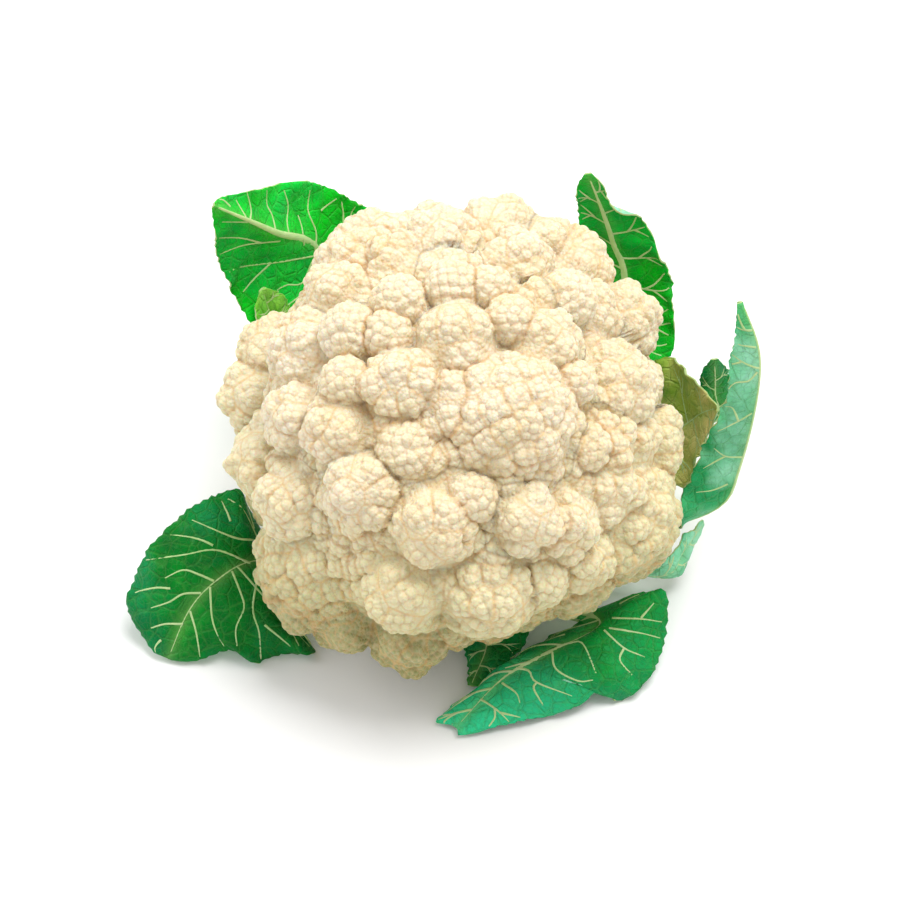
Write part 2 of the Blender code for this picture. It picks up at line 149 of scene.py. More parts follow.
# %% [markdown]
# ## Camera, floor and light
#
# The head stands on a white sweep under soft light from above, a little behind and to the right, so its
# shadow falls to the front left. A long lens from almost a metre away keeps the proportions calm. The
# camera is set first, because every later choice is judged through it.

# %% The camera
SENSOR_WIDTH = 36.0
camera_look = bpy.data.cameras.new("camera")
camera_look.sensor_width = SENSOR_WIDTH
camera_look.lens = SENSOR_WIDTH * SIGHT_DISTANCE / (PICTURE_WIDTH / PICTURE_PIXELS_PER_MM)
camera_look.shift_y = (PICTURE_HEAD_CENTRE[1] - PICTURE_WIDTH / 2) / PICTURE_WIDTH
camera = bpy.data.objects.new("camera", camera_look)
camera.location = EYE * MM
camera.rotation_euler = (-SIGHT_BACK).to_track_quat("-Z", "Y").to_euler()
bpy.context.scene.collection.objects.link(camera)
bpy.context.scene.camera = camera
print("lens, mm:", round(camera_look.lens, 1))

# %% The floor
FLOOR_SIZE = 6.0
SWEEP_WHITE = (0.93, 0.93, 0.93)


def plain_material(name, colour, roughness):
    made = bpy.data.materials.new(name)
    made.use_nodes = True
    shader = made.node_tree.nodes["Principled BSDF"]
    shader.inputs["Base Color"].default_value = (*colour, 1.0)
    shader.inputs["Roughness"].default_value = roughness
    return made


bpy.ops.object.select_all(action="DESELECT")
bpy.ops.mesh.primitive_plane_add(size=FLOOR_SIZE, location=(0.0, 0.0, 0.0))
floor = bpy.context.object
floor.name = "floor"
floor.data.materials.append(plain_material("white sweep", SWEEP_WHITE, 0.9))

# %% The lights
# Each light: its place and its size in metres, and its power in watts.
LIGHTS = {
    "key softbox": ((0.36, 0.22, 1.38), 1.1, 19.0),
    "left softbox": ((-1.2, 0.2, 0.8), 0.7, 5.0),
}
for name, (place, size, power) in LIGHTS.items():
    light = bpy.data.lights.new(name, "AREA")
    light.shape = "DISK"
    light.size = size
    light.energy = power
    lamp = bpy.data.objects.new(name, light)
    lamp.location = place
    aim = HEAD_CENTRE * MM - lamp.location
    lamp.rotation_euler = aim.to_track_quat("-Z", "Y").to_euler()
    bpy.context.scene.collection.objects.link(lamp)

SKY_STRENGTH = 0.69
sky = bpy.data.worlds.new("studio")
sky.use_nodes = True
sky.node_tree.nodes["Background"].inputs["Color"].default_value = (1.0, 1.0, 1.0, 1.0)
sky.node_tree.nodes["Background"].inputs["Strength"].default_value = SKY_STRENGTH
bpy.context.scene.world = sky
bpy.context.scene.view_settings.view_transform = "Standard"
print("lights:", len(LIGHTS))

# %% [markdown]
# ## Shared shading: mottle
#
# Nothing that grew is one flat colour. Curd, stalk and leaves all drift a little in tone over a few
# centimetres and over a few millimetres. One node group gives that drift as a mask between 0 and 1, and
# each material mixes its own colours with it.

# %% The mottle group
BROAD_SHARE = 0.6
FINE_SHARE = 0.4
MOTTLE_DETAIL = 3.0
PATCHY_PART = (0.35, 0.65)  # the part of the mask that patches are made from


def new_mottle():
    group = bpy.data.node_groups.new("mottle", "ShaderNodeTree")
    group.interface.new_socket("Broad Scale", in_out="INPUT", socket_type="NodeSocketFloat")
    group.interface.new_socket("Fine Scale", in_out="INPUT", socket_type="NodeSocketFloat")
    group.interface.new_socket("Mask", in_out="OUTPUT", socket_type="NodeSocketFloat")
    nodes, links = group.nodes, group.links
    inside = nodes.new("NodeGroupInput")
    outside = nodes.new("NodeGroupOutput")
    places = nodes.new("ShaderNodeTexCoord")
    total = nodes.new("ShaderNodeMath")
    total.operation = "MULTIPLY_ADD"
    total.inputs[1].default_value = BROAD_SHARE
    for socket, name in ((0, "Broad Scale"), (2, "Fine Scale")):
        cloud = nodes.new("ShaderNodeTexNoise")
        cloud.inputs["Detail"].default_value = MOTTLE_DETAIL
        links.new(places.outputs["Object"], cloud.inputs["Vector"])
        links.new(inside.outputs[name], cloud.inputs["Scale"])
        if socket == 0:
            links.new(cloud.outputs["Fac"], total.inputs[0])
        else:
            weaker = nodes.new("ShaderNodeMath")
            weaker.operation = "MULTIPLY"
            weaker.inputs[1].default_value = FINE_SHARE
            links.new(cloud.outputs["Fac"], weaker.inputs[0])
            links.new(weaker.outputs[0], total.inputs[2])
    links.new(total.outputs[0], outside.inputs["Mask"])
    return group


mottle = new_mottle()
print("group:", mottle.name)

# %% Small helpers for building a material


class Look:
    """A material under construction, with short ways to add and join its nodes."""

    def __init__(self, name, roughness):
        self.material = bpy.data.materials.new(name)
        self.material.use_nodes = True
        self.nodes = self.material.node_tree.nodes
        self.links = self.material.node_tree.links
        self.shader = self.nodes["Principled BSDF"]
        self.shader.inputs["Roughness"].default_value = roughness
        self.places = self.nodes.new("ShaderNodeTexCoord")

    def join(self, source, target):
        self.links.new(source, target)

    def mottled(self, broad, fine):
        """The mottle mask at two scales, in patches per metre."""
        node = self.nodes.new("ShaderNodeGroup")
        node.node_tree = mottle
        node.inputs["Broad Scale"].default_value = broad
        node.inputs["Fine Scale"].default_value = fine
        return node.outputs["Mask"]

    def painted(self, name):
        """A value painted on the piece's points."""
        node = self.nodes.new("ShaderNodeAttribute")
        node.attribute_name = name
        return node.outputs["Fac"]

    def spread(self, source, low, high):
        """Stretches the part between low and high over 0 to 1."""
        node = self.nodes.new("ShaderNodeMapRange")
        node.inputs["From Min"].default_value = low
        node.inputs["From Max"].default_value = high
        self.join(source, node.inputs["Value"])
        return node.outputs["Result"]

    def patchy(self, broad, fine):
        """The mottle mask, stretched to reach from 0 to 1."""
        return self.spread(self.mottled(broad, fine), *PATCHY_PART)

    def scaled(self, source, factor):
        node = self.nodes.new("ShaderNodeMath")
        node.operation = "MULTIPLY"
        node.inputs[1].default_value = factor
        self.join(source, node.inputs[0])
        return node.outputs[0]

    def added(self, first, second):
        node = self.nodes.new("ShaderNodeMath")
        node.operation = "ADD"
        self.join(first, node.inputs[0])
        self.join(second, node.inputs[1])
        return node.outputs[0]

    def blended(self, mask, under, over):
        """Mixes two colours, each a triple or a socket, by a mask."""
        node = self.nodes.new("ShaderNodeMix")
        node.data_type = "RGBA"
        self.join(mask, node.inputs["Factor"])
        for socket, colour in ((node.inputs[6], under), (node.inputs[7], over)):
            if isinstance(colour, tuple):
                socket.default_value = (*colour, 1.0)
            else:
                self.join(colour, socket)
        return node.outputs[2]

    def cells(self, scale, feature):
        """Voronoi cells: scale is cells per metre."""
        node = self.nodes.new("ShaderNodeTexVoronoi")
        node.feature = feature
        node.inputs["Scale"].default_value = scale
        self.join(self.places.outputs["Object"], node.inputs["Vector"])
        return node.outputs["Distance"]

    def height(self):
        """How high a point stands, in metres."""
        node = self.nodes.new("ShaderNodeSeparateXYZ")
        self.join(self.places.outputs["Object"], node.inputs["Vector"])
        return node.outputs["Z"]

    def clouds(self, scale, detail):
        node = self.nodes.new("ShaderNodeTexNoise")
        node.inputs["Scale"].default_value = scale
        node.inputs["Detail"].default_value = detail
        self.join(self.places.outputs["Object"], node.inputs["Vector"])
        return node.outputs["Fac"]

    def raised(self, height, depth):
        """Bumps the surface by a height mask; depth is in metres."""
        node = self.nodes.new("ShaderNodeBump")
        node.inputs["Distance"].default_value = depth
        self.join(height, node.inputs["Height"])
        self.join(node.outputs["Normal"], self.shader.inputs["Normal"])

    def coloured(self, colour):
        self.join(colour, self.shader.inputs["Base Color"])

    def fleshy(self, weight, radius):
        """Lets light sink in, as it does in plant flesh."""
        self.shader.inputs["Subsurface Weight"].default_value = weight
        self.shader.inputs["Subsurface Radius"].default_value = radius
        self.shader.inputs["Subsurface Scale"].default_value = 1.0


print("helper ready:", Look.__name__)

# %% [markdown]
# ## The curd's finish
#
# Curd is packed flower buds: cream-white and matt. Deep in the furrows and creases it is painted warm tan to
# orange-brown, partly the flesh's own warmer tone and partly painted shade. The creases are known from the
# shape itself, so each point will carry two painted values: how near it lies to the next floret, and how
# deep it lies between lumps or buds. The smallest buds, about a millimetre across, are only a bump. Towards
# the bottom the curd is painted darker still, as painted shade.

# %% The curd material
CREAM = (0.75, 0.66, 0.43)
PALE_CREAM = (0.80, 0.74, 0.58)
LOW_CREAM = (0.70, 0.68, 0.40)
# painted shade: the curd's colour is darkened towards its bottom
SHADED_CREAM = (0.20, 0.22, 0.06)
PINK = (0.78, 0.55, 0.34)
# painted shade mixed with the flesh's own warmer tone: tan in the furrows, brown in the creases
FURROW_TAN_SHADE = (0.68, 0.41, 0.15)
CREASE_BROWN_SHADE = (0.48, 0.22, 0.05)
PINK_SHARE = 0.34
TAN_SHARE = 0.68
BROWN_SHARE = 0.50
LOW_HEIGHTS = (0.10, 0.05)  # in metres: the tone changes between the two
SHADED_HEIGHTS = (0.066, 0.024)
GRAIN_SCALE = 760.0
GRAIN_DEPTH = 0.0006  # in metres


def curd_material():
    look = Look("curd", 0.6)
    look.shader.inputs["Specular IOR Level"].default_value = 0.25
    tone = look.blended(look.patchy(28.0, 160.0), CREAM, PALE_CREAM)
    tone = look.blended(look.spread(look.height(), *LOW_HEIGHTS), tone, LOW_CREAM)
    # painted shade: darker towards the bottom of the curd
    tone = look.blended(look.spread(look.height(), *SHADED_HEIGHTS), tone, SHADED_CREAM)
    grain = look.cells(GRAIN_SCALE, "F1")
    tone = look.blended(look.scaled(look.spread(grain, 0.35, 0.85), PINK_SHARE), tone, PINK)
    furrow = look.spread(look.painted("furrow"), 0.05, 0.95)
    crease = look.spread(look.painted("crease"), 0.50, 1.05)
    # painted shade in the furrows and creases, mixed with the flesh's own warmer tone
    tone = look.blended(look.scaled(furrow, TAN_SHARE), tone, FURROW_TAN_SHADE)
    tone = look.blended(look.scaled(crease, BROWN_SHARE), tone, CREASE_BROWN_SHADE)
    look.coloured(tone)
    look.raised(grain, -GRAIN_DEPTH)
    look.fleshy(0.45, (0.0040, 0.0023, 0.0010))
    return look.material


curd_look = curd_material()
print("material:", curd_look.name)

# %% [markdown]
# ## Where the florets stand
#
# The florets that the picture shows are listed: across, up, radius, and how far each is sunk. The
# others follow a golden-angle spiral down from the crown, as they do on the plant, and take whatever
# room is left.

# %% The list of florets
SEEN_FLORETS = [
    (21, 6, 24, -3), (-17, 18, 14, 0), (2, 34, 15, 0), (33, 32, 14, 0), (57, 17, 17, 0),
    (44, 19, 8, 2), (-49, 30, 16, 0), (-35, 36, 11, 0), (-37, 19, 9, 0), (-40, 2, 13, 0),
    (-69, 14, 14, 0), (-66, -9, 14, 0), (-62, 30, 14, 0), (-54, 6, 13, 1), (-31, 58, 18, 0),
    (-18, 47, 10, 0), (-22, 36, 9, 2), (1, 52, 10, 0), (-5, 68, 13, 0), (-24, 67, 15, 0),
    (17, 71, 16, 0), (-40, 50, 13, 0), (14, 52, 8, 1), (24, 61, 13, 0), (21, 41, 9, 1),
    (41, 48, 11, 0), (45, 60, 14, 0), (61, 41, 15, 0), (33, 67, 13, 0), (-31, -19, 14, 0),
    (-6, -32, 15, 0), (-43, -42, 27, 0), (-16, -55, 15, 0), (-14, -71, 15, 0), (-55, -23, 15, 0),
    (-52, -58, 13, 1), (-37, -66, 12, 0), (-15, -5, 11, 6), (8, -22, 9, 5), (27, -29, 13, 0),
    (57, -28, 25, 0), (72, -2, 13, 7), (13, -55, 17, 0), (46, -44, 13, 3), (44, -52, 13, 8),
    (31, -50, 11, 6), (48, -4, 9, 6),
]
SPIRAL_FLORETS = 140
GOLDEN_ANGLE = math.pi * (3.0 - math.sqrt(5.0))
SPIRAL_END = math.radians(118.0)  # from the head's axis, where the curd turns in to the stalk
SPIRAL_RADIUS = (13.0, 16.0)  # at the crown and at the rim
SPIRAL_CROWDING = 0.54  # least distance between neighbours, as a share of their radii's sum

DEEPEST_SINK = 6.0
# Where the head's outline is seen drawn in: across, up, how far round that place, and how deep.
HOLLOWS = [(-56, 44, 22, 11), (22, -68, 30, 13)]
Floret = namedtuple("Floret", "centre radius seen")


def spiral_on_shell(turn, inset):
    """The place of one step of the spiral, from the crown down to the rim."""
    share = (turn + 0.5) / SPIRAL_FLORETS
    polar = math.acos(1.0 - share * (1.0 - math.cos(SPIRAL_END)))
    angle = turn * GOLDEN_ANGLE
    ray = (
        X_AXIS * (math.sin(polar) * math.cos(angle))
        + HEAD_BACK * (math.sin(polar) * math.sin(angle))
        + HEAD_AXIS * math.cos(polar)
    )
    return HEAD_CENTRE + ray / shell_level(HEAD_CENTRE + ray, inset)


def floret_list():
    placed = []
    for across, up, radius, sunk in SEEN_FLORETS:
        placed.append(Floret(seen_on_shell(across, up, radius + sunk), float(radius), True))
    for turn in range(SPIRAL_FLORETS):
        share = (turn + 0.5) / SPIRAL_FLORETS
        radius = SPIRAL_RADIUS[0] + (SPIRAL_RADIUS[1] - SPIRAL_RADIUS[0]) * share
        centre = spiral_on_shell(turn, radius)
        apart = [(centre - other.centre).length / (radius + other.radius) for other in placed]
        if min(apart) > SPIRAL_CROWDING:
            placed.append(Floret(centre, radius, False))
    return [sunk_floret(own, placed) for own in placed]


def sunk_floret(own, placed):
    """An unseen floret is drawn in where it would stand on the side of a large one."""
    if own.seen:
        return own
    crowding = [
        1.0 - (own.centre - other.centre).length / (own.radius + other.radius)
        for other in placed if other.seen
    ]
    depth = DEEPEST_SINK * min(max(max(crowding) / (1.0 - SPIRAL_CROWDING), 0.0), 1.0)
    return Floret(drawn_in(own.centre) - shell_normal(own.centre) * depth, own.radius, False)


def drawn_in(centre):
    """An unseen floret's centre, sunk towards the head's middle where the outline has a hollow."""
    seen_across, seen_up = seen_place(centre)
    sink = 0.0
    for across, up, reach, deepest in HOLLOWS:
        away = math.hypot(seen_across - across, seen_up - up)
        sink = max(sink, deepest * (1.0 - (away / reach) ** 2))
    return centre + (HEAD_CENTRE - centre).normalized() * sink


florets = floret_list()
print("florets:", len(florets), "of them seen:", len(SEEN_FLORETS))

# %% [markdown]
# ## How a curd is made of domes
#
# A curd repeats itself in small: florets carry lumps, lumps carry buds, and each is a dome that stands out
# of the one below. Sculpting six thousand buds by hand would take days, and a bump map would leave their
# outline smooth. So every dome is part of a ball, the smaller balls are spread over the larger ones by a
# rule, and the skin is drawn over the outermost of them all. Where two balls meet, a sharp furrow is left,
# as on the real curd.

# %% Balls about the head's middle
Balls = namedtuple("Balls", "centres radii")
HEAD_AXES = np.array((X_AXIS, HEAD_BACK, HEAD_AXIS))
CORE_DEPTH = 12.0  # from the shell in to the flesh between the florets


def along_ways(ways, balls):
    """How far out each direction leaves each ball, or 0 where it misses."""
    beside = ways @ balls.centres.T
    inside = beside**2 - (balls.centres**2).sum(axis=1) + balls.radii**2
    return np.where(inside > 0.0, beside + np.sqrt(np.maximum(inside, 0.0)), 0.0)


def gaps_to(points, balls):
    """How far each point is from each ball's skin: less than 0 inside it."""
    squared = (points**2).sum(axis=1)[:, None] + (balls.centres**2).sum(axis=1)
    squared -= 2.0 * points @ balls.centres.T
    return np.sqrt(np.maximum(squared, 0.0)) - balls.radii


def along_lines(starts, ways, balls, furthest):
    """How far along each line it leaves its last ball, not counting those beyond the furthest."""
    beside = ways @ balls.centres.T - (starts * ways).sum(axis=1)[:, None]
    squared = (gaps_to(starts, balls) + balls.radii) ** 2
    inside = beside**2 - squared + balls.radii**2
    outs = np.where(inside > 0.0, beside + np.sqrt(np.maximum(inside, 0.0)), 0.0)
    return np.where(outs < furthest, outs, 0.0).max(axis=1)


def core_reach(ways):
    """How far out the flesh between the florets lies in each direction."""
    in_axes = ways @ HEAD_AXES.T
    upper, lower = (np.array(shell_sizes(side, CORE_DEPTH)) for side in (1.0, -1.0))
    sizes = np.where(in_axes[:, 2:] > 0.0, upper, lower)
    return 1.0 / np.linalg.norm(in_axes / sizes, axis=1)


def blended_reach(ways, balls, floor, blend):
    """How far out the balls reach together, with the valleys between them filled over the blend length."""
    outs = np.column_stack((along_ways(ways, balls), floor))
    furthest = outs.max(axis=1)
    return furthest + blend * np.log(np.exp((outs - furthest[:, None]) / blend).sum(axis=1))


floret_balls = Balls(
    np.array([tuple(own.centre - HEAD_CENTRE) for own in florets]),
    np.array([own.radius for own in florets]),
)
print("largest floret's radius, mm:", round(float(floret_balls.radii.max()), 1))

# %% Balls that carry smaller balls
LUMP_SPACING = 10.2
LUMP_RADIUS = {True: 6.8, False: 6.3}  # on a large floret and on a small one
LUMP_CROWDING = 0.55  # the least distance between lumps, as a share of their spacing
LUMP_PROUD = -0.2  # how far a lump's top stands over the florets
LUMP_SLACK = 3.0  # how far another floret may cover a lump's top before the lump is left out
FLORET_BLEND = 1.5
LARGE_FLORET = 17.0
SINGLE_FLORET = 11.5  # up to this radius a floret is one lump
BUD_SPACING = 3.9
BUD_RADIUS = 2.4
BUD_PROUD = 0.6
BUD_SLACK = 1.1
BUD_CROWDING = 0.52
LUMP_BLEND = 0.3
CORE_SUNK = 5.0  # how far the bare flesh lies under the lumps that grow on it
UNEVEN = 0.11
LUMP_SIZES = (0.88, 1.12)  # the smallest and the largest, as a share of the radius
BUD_SIZES = (0.93, 1.07)
ROW_GAP = 0.866  # in a triangular grid, how far apart the rows lie for a spacing of one
FEWEST = 12
CURD_SEED = 11


def spread_over_ball(radius, spacing, draw):
    """Unit directions about that far apart, in a jittered golden-angle spiral, turned at random."""
    count = max(int(4.0 * math.pi * radius**2 / (ROW_GAP * spacing**2)), FEWEST)
    step = np.arange(count)
    height = 1.0 - (2.0 * step + 1.0) / count
    ring = np.sqrt(1.0 - height**2)
    angle = step * GOLDEN_ANGLE
    places = np.column_stack((ring * np.cos(angle), ring * np.sin(angle), height))
    places += draw.normal(0.0, UNEVEN * spacing / radius, places.shape)
    turn = np.linalg.qr(draw.normal(size=(3, 3)))[0]
    return (places / np.linalg.norm(places, axis=1)[:, None]) @ turn


def settled(tops, ways, sizes, proud, slack, parents, blend, floor_sunk=0.0):
    """Balls under those tops, raised to the blended skin of the parents. Covered ones are left out."""
    away = np.linalg.norm(tops, axis=1)
    out = tops / away[:, None]
    floor = core_reach(out) - floor_sunk
    covered = np.maximum(along_ways(out, parents).max(axis=1), floor) - away > slack
    lift = blended_reach(out, parents, floor, blend) - away
    centres = tops + ways * (proud - sizes)[:, None] + out * lift[:, None]
    return Balls(centres[~covered], sizes[~covered])


def joined(groups):
    centres = np.concatenate([group.centres for group in groups])
    return Balls(centres, np.concatenate([group.radii for group in groups]))


def thinned(balls, least):
    """Leaves out every ball whose centre is nearer than the least distance to an earlier one's."""
    tree = KDTree(len(balls.radii))
    for index, centre in enumerate(balls.centres):
        tree.insert(centre, index)
    tree.balance()
    kept = np.ones(len(balls.radii), dtype=bool)
    for index, centre in enumerate(balls.centres):
        if kept[index]:
            for _, other, _ in tree.find_range(centre, least):
                kept[other] = kept[other] and other <= index
    return Balls(balls.centres[kept], balls.radii[kept])


def sprout_lumps(draw):
    """Lumps spread over each floret, and over the flesh between them."""
    groups = []
    for middle, radius in zip(*floret_balls):
        if radius < SINGLE_FLORET:
            groups.append(Balls(middle[None], np.array([radius + LUMP_PROUD])))
            continue
        ways = spread_over_ball(radius, LUMP_SPACING, draw)
        sizes = LUMP_RADIUS[radius >= LARGE_FLORET] * draw.uniform(*LUMP_SIZES, len(ways))
        groups.append(
            settled(middle + ways * radius, ways, sizes, LUMP_PROUD, LUMP_SLACK, floret_balls, FLORET_BLEND)
        )
    ways = spread_over_ball(HEAD_HALF_WIDTH, LUMP_SPACING, draw)
    ways = ways[ways @ np.array(HEAD_AXIS) > math.cos(SPIRAL_END)]
    sizes = LUMP_RADIUS[False] * draw.uniform(*LUMP_SIZES, len(ways))
    tops = ways * core_reach(ways)[:, None]
    groups.append(settled(tops, ways, sizes, LUMP_PROUD, LUMP_SLACK, floret_balls, FLORET_BLEND))
    return thinned(joined(groups), LUMP_CROWDING * LUMP_SPACING)


def sprout_buds(lumps, draw):
    """Buds spread over each lump."""
    groups = []
    for middle, radius in zip(*lumps):
        ways = spread_over_ball(radius, BUD_SPACING, draw)
        sizes = BUD_RADIUS * draw.uniform(*BUD_SIZES, len(ways))
        groups.append(
            settled(middle + ways * radius, ways, sizes, BUD_PROUD, BUD_SLACK, lumps, LUMP_BLEND, CORE_SUNK)
        )
    return thinned(joined(groups), BUD_CROWDING * BUD_SPACING)


curd_draw = np.random.default_rng(CURD_SEED)
lumps = sprout_lumps(curd_draw)
buds = sprout_buds(lumps, curd_draw)
print("lumps:", len(lumps.radii), "buds:", len(buds.radii))

# %% [markdown]
# ## The curd's skin
#
# The skin starts as one ball: an icosphere, subdivided until a bud is several faces across, with most of
# its points drawn to the side that the florets are on, and then spread evenly over the florets' own skin.
# From a little under that skin each point looks straight out of it, and is put where that line leaves the
# last of the smaller balls, so that buds on a floret's steep side are as round as those on its top. At the
# same time the point is painted with how near it lies to a furrow between buds or lumps, and to a crease
# between florets.

# %% The ball that the skin starts from
BALL_DIVISIONS = 4
COARSE_CUTS = 5
FINE_CUTS = 3
CROWDED = 0.93  # this share of the ball's points goes to
SHOWING = 0.78  # this share of its skin
EVENING_STEPS = 40


def pick_only(thing):
    bpy.ops.object.select_all(action="DESELECT")
    thing.select_set(True)
    bpy.context.view_layer.objects.active = thing


def places_of(mesh):
    places = np.empty(len(mesh.vertices) * 3)
    mesh.vertices.foreach_get("co", places)
    return places.reshape(-1, 3)


def cut_finer(thing, cuts):
    pick_only(thing)
    bpy.ops.object.mode_set(mode="EDIT")
    bpy.ops.mesh.select_all(action="SELECT")
    bpy.ops.mesh.subdivide(number_cuts=cuts)
    bpy.ops.object.mode_set(mode="OBJECT")


def crowded_upwards(places):
    """Directions of those points, with most of them drawn to the side that the florets are on."""
    below = (1.0 - places[:, 2] / np.linalg.norm(places, axis=1)) / 2.0
    inner = SHOWING + (below - CROWDED) * (1.0 - SHOWING) / (1.0 - CROWDED)
    below = np.clip(np.where(below <= CROWDED, below * SHOWING / CROWDED, inner), 0.0, 1.0)
    height = 1.0 - 2.0 * below
    ring = np.sqrt(np.maximum(1.0 - height**2, 0.0))
    turn = places[:, :2] / np.maximum(np.linalg.norm(places[:, :2], axis=1), 1e-9)[:, None]
    return np.column_stack((turn * ring[:, None], height)) @ HEAD_AXES


def evened(ways, edges):
    """Spreads the directions so that points lie evenly on the florets' sides as well as on their tops."""
    count = np.bincount(edges.ravel(), minlength=len(ways))[:, None]
    for _ in range(EVENING_STEPS):
        places = ways * blended_reach(ways, floret_balls, core_reach(ways), FLORET_BLEND)[:, None]
        total = np.zeros_like(places)
        for axis in range(3):
            for here, there in ((0, 1), (1, 0)):
                total[:, axis] += np.bincount(edges[:, here], places[edges[:, there], axis], len(ways))
        places = (places + total / count) / 2.0
        ways = places / np.linalg.norm(places, axis=1)[:, None]
    return ways


def skin_ball():
    """A fine ball, its points crowded and evened, and the direction of each point."""
    bpy.ops.object.select_all(action="DESELECT")
    bpy.ops.mesh.primitive_ico_sphere_add(subdivisions=BALL_DIVISIONS, radius=1.0)
    thing = bpy.context.object
    cut_finer(thing, COARSE_CUTS)
    edges = np.empty(len(thing.data.edges) * 2, dtype=np.int32)
    thing.data.edges.foreach_get("vertices", edges)
    ways = evened(crowded_upwards(places_of(thing.data)), edges.reshape(-1, 2))
    thing.data.vertices.foreach_set("co", ways.ravel())
    cut_finer(thing, FINE_CUTS)
    ways = places_of(thing.data)
    return thing, ways / np.linalg.norm(ways, axis=1)[:, None]


skin, skin_ways = skin_ball()
print("faces on the skin:", len(skin.data.polygons))

# %% Drawing the skin over the balls
PATCH_DIVISIONS = 4  # the skin is worked out patch by patch, round each point of such an icosphere
PATCH_ANGLE = math.radians(6.5)
START_DEPTH = 2.3  # the skin is looked for from this far under the florets' own skin
LOOK_AHEAD = 4.0  # to this far over it
LUMPS_SUNK = 0.8  # how far under their own size the lumps are, where no bud covers them
FACING_BLEND = 2.5
WARP = 0.4  # mm that the furrows wander
WANDER_WAVES = (43.0, 71.0)
SORTING_PARTS = 64
BALL_SPARE = 6.0  # a patch looks this far past its own edge for lumps and buds
FLORET_SPARE = 40.0  # and this far for florets
BUD_FURROW_SHARE = 0.55
LUMP_FURROW_SHARE = 0.9
BUD_FURROW = 0.6
LUMP_FURROW = 0.9
FLORET_CREASE = 2.5


def near_patch(middle, balls, spare):
    """The balls that a patch of directions can meet."""
    away = np.linalg.norm(balls.centres, axis=1)
    cosine = np.clip(balls.centres @ middle / away, -1.0, 1.0)
    reach = PATCH_ANGLE + np.arcsin(np.clip((balls.radii + spare) / away, 0.0, 1.0))
    near = np.arccos(cosine) < reach
    return Balls(balls.centres[near], balls.radii[near]), np.flatnonzero(near)


def closeness(points, balls, width):
    """1 where the two nearest balls are as near as each other, fading to 0 over the width."""
    if len(balls.radii) < 2:
        return np.zeros(len(points))
    two = np.partition(gaps_to(points, balls), 1, axis=1)[:, :2]
    return np.clip(1.0 - (two.max(axis=1) - two.min(axis=1)) / width, 0.0, 1.0)


def facing(points, ways, balls, floor):
    """Which way the florets' skin faces: mostly away from the middle of the nearest one."""
    gaps = np.column_stack((gaps_to(points, balls), np.linalg.norm(points, axis=1) - floor))
    weight = np.exp((gaps.min(axis=1)[:, None] - gaps) / FACING_BLEND)
    weight /= weight.sum(axis=1)[:, None]
    share = weight[:, :-1] / (gaps[:, :-1] + balls.radii)
    out = points * share.sum(axis=1)[:, None] - share @ balls.centres + ways * weight[:, -1:]
    return out / np.linalg.norm(out, axis=1)[:, None]


def patch_middles():
    bpy.ops.object.select_all(action="DESELECT")
    bpy.ops.mesh.primitive_ico_sphere_add(subdivisions=PATCH_DIVISIONS, radius=1.0)
    thing = bpy.context.object
    middles = np.array([tuple(corner.co.normalized()) for corner in thing.data.vertices])
    bpy.data.objects.remove(thing)
    return middles


def draw_skin(ways):
    """For each direction: where the skin lies, its furrow, its crease and its floret."""
    slow, quick = WANDER_WAVES
    wander = np.sin(ways[:, [1, 2, 0]] * slow) + np.sin(ways[:, [2, 0, 1]] * quick + 1.0)
    places = np.zeros_like(ways)
    furrow, crease, floret = np.zeros(len(ways)), np.zeros(len(ways)), np.zeros(len(ways), dtype=int)
    middles = patch_middles()
    parts = np.array_split(ways, SORTING_PARTS)
    patch = np.concatenate([(part @ middles.T).argmax(axis=1) for part in parts])
    for index, middle in enumerate(middles):
        rows = np.flatnonzero(patch == index)
        if not len(rows):
            continue
        near_buds, _ = near_patch(middle, buds, BALL_SPARE)
        near_lumps, _ = near_patch(middle, lumps, BALL_SPARE)
        near_florets, numbers = near_patch(middle, floret_balls, FLORET_SPARE)
        floor = core_reach(ways[rows])
        base = ways[rows] * blended_reach(ways[rows], near_florets, floor, FLORET_BLEND)[:, None]
        lines = facing(base, ways[rows], near_florets, floor)
        starts = base - lines * START_DEPTH + wander[rows] * (WARP / 2.0)
        furthest = START_DEPTH + LOOK_AHEAD
        out = np.zeros(len(rows))
        if len(near_lumps.radii):
            out = np.maximum(out, along_lines(starts, lines, near_lumps, furthest) - LUMPS_SUNK)
        if len(near_buds.radii):
            out = np.maximum(out, along_lines(starts, lines, near_buds, furthest))
        points = starts + lines * out[:, None]
        places[rows] = points - wander[rows] * (WARP / 2.0)
        between_buds = closeness(points, near_buds, BUD_FURROW)
        between_lumps = closeness(points, near_lumps, LUMP_FURROW)
        furrow[rows] = np.maximum(BUD_FURROW_SHARE * between_buds, LUMP_FURROW_SHARE * between_lumps)
        crease[rows] = closeness(points, near_florets, FLORET_CREASE)
        floret[rows] = numbers[gaps_to(points, near_florets).argmin(axis=1)]
    return places, furrow, crease, floret


def paint(mesh, name, values):
    layer = mesh.attributes.new(name, "FLOAT", "POINT")
    layer.data.foreach_set("value", np.asarray(values, dtype=np.float32))


skin_places, skin_furrow, skin_crease, skin_floret = draw_skin(skin_ways)
skin.data.vertices.foreach_set("co", ((np.array(HEAD_CENTRE) + skin_places) * MM).ravel())
paint(skin.data, "furrow", skin_furrow)
paint(skin.data, "crease", skin_crease)
print("furthest from the middle, mm:", round(float(np.linalg.norm(skin_places, axis=1).max()), 1))

# %% [markdown]
# ## Cutting the skin into masses
#
# One mesh this fine is slow to edit, so it is parted along the creases between florets into a crown and
# five sides. Each is closed like a slice of orange: its open edge is extruded and merged in the head's
# middle. The edge is marked sharp first, so that the hidden walls don't bend the light on the skin.

# %% The masses
MASSES = 6
CROWN_ANGLE = math.radians(42.0)


def add_piece(name, mesh, slot, *replaced):
    """Puts a mesh in the scene as a finished piece that stands for CAD nodes."""
    piece = bpy.data.objects.new(name, mesh)
    bpy.context.scene.collection.objects.link(piece)
    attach(piece, "root")
    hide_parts(*replaced)
    return piece


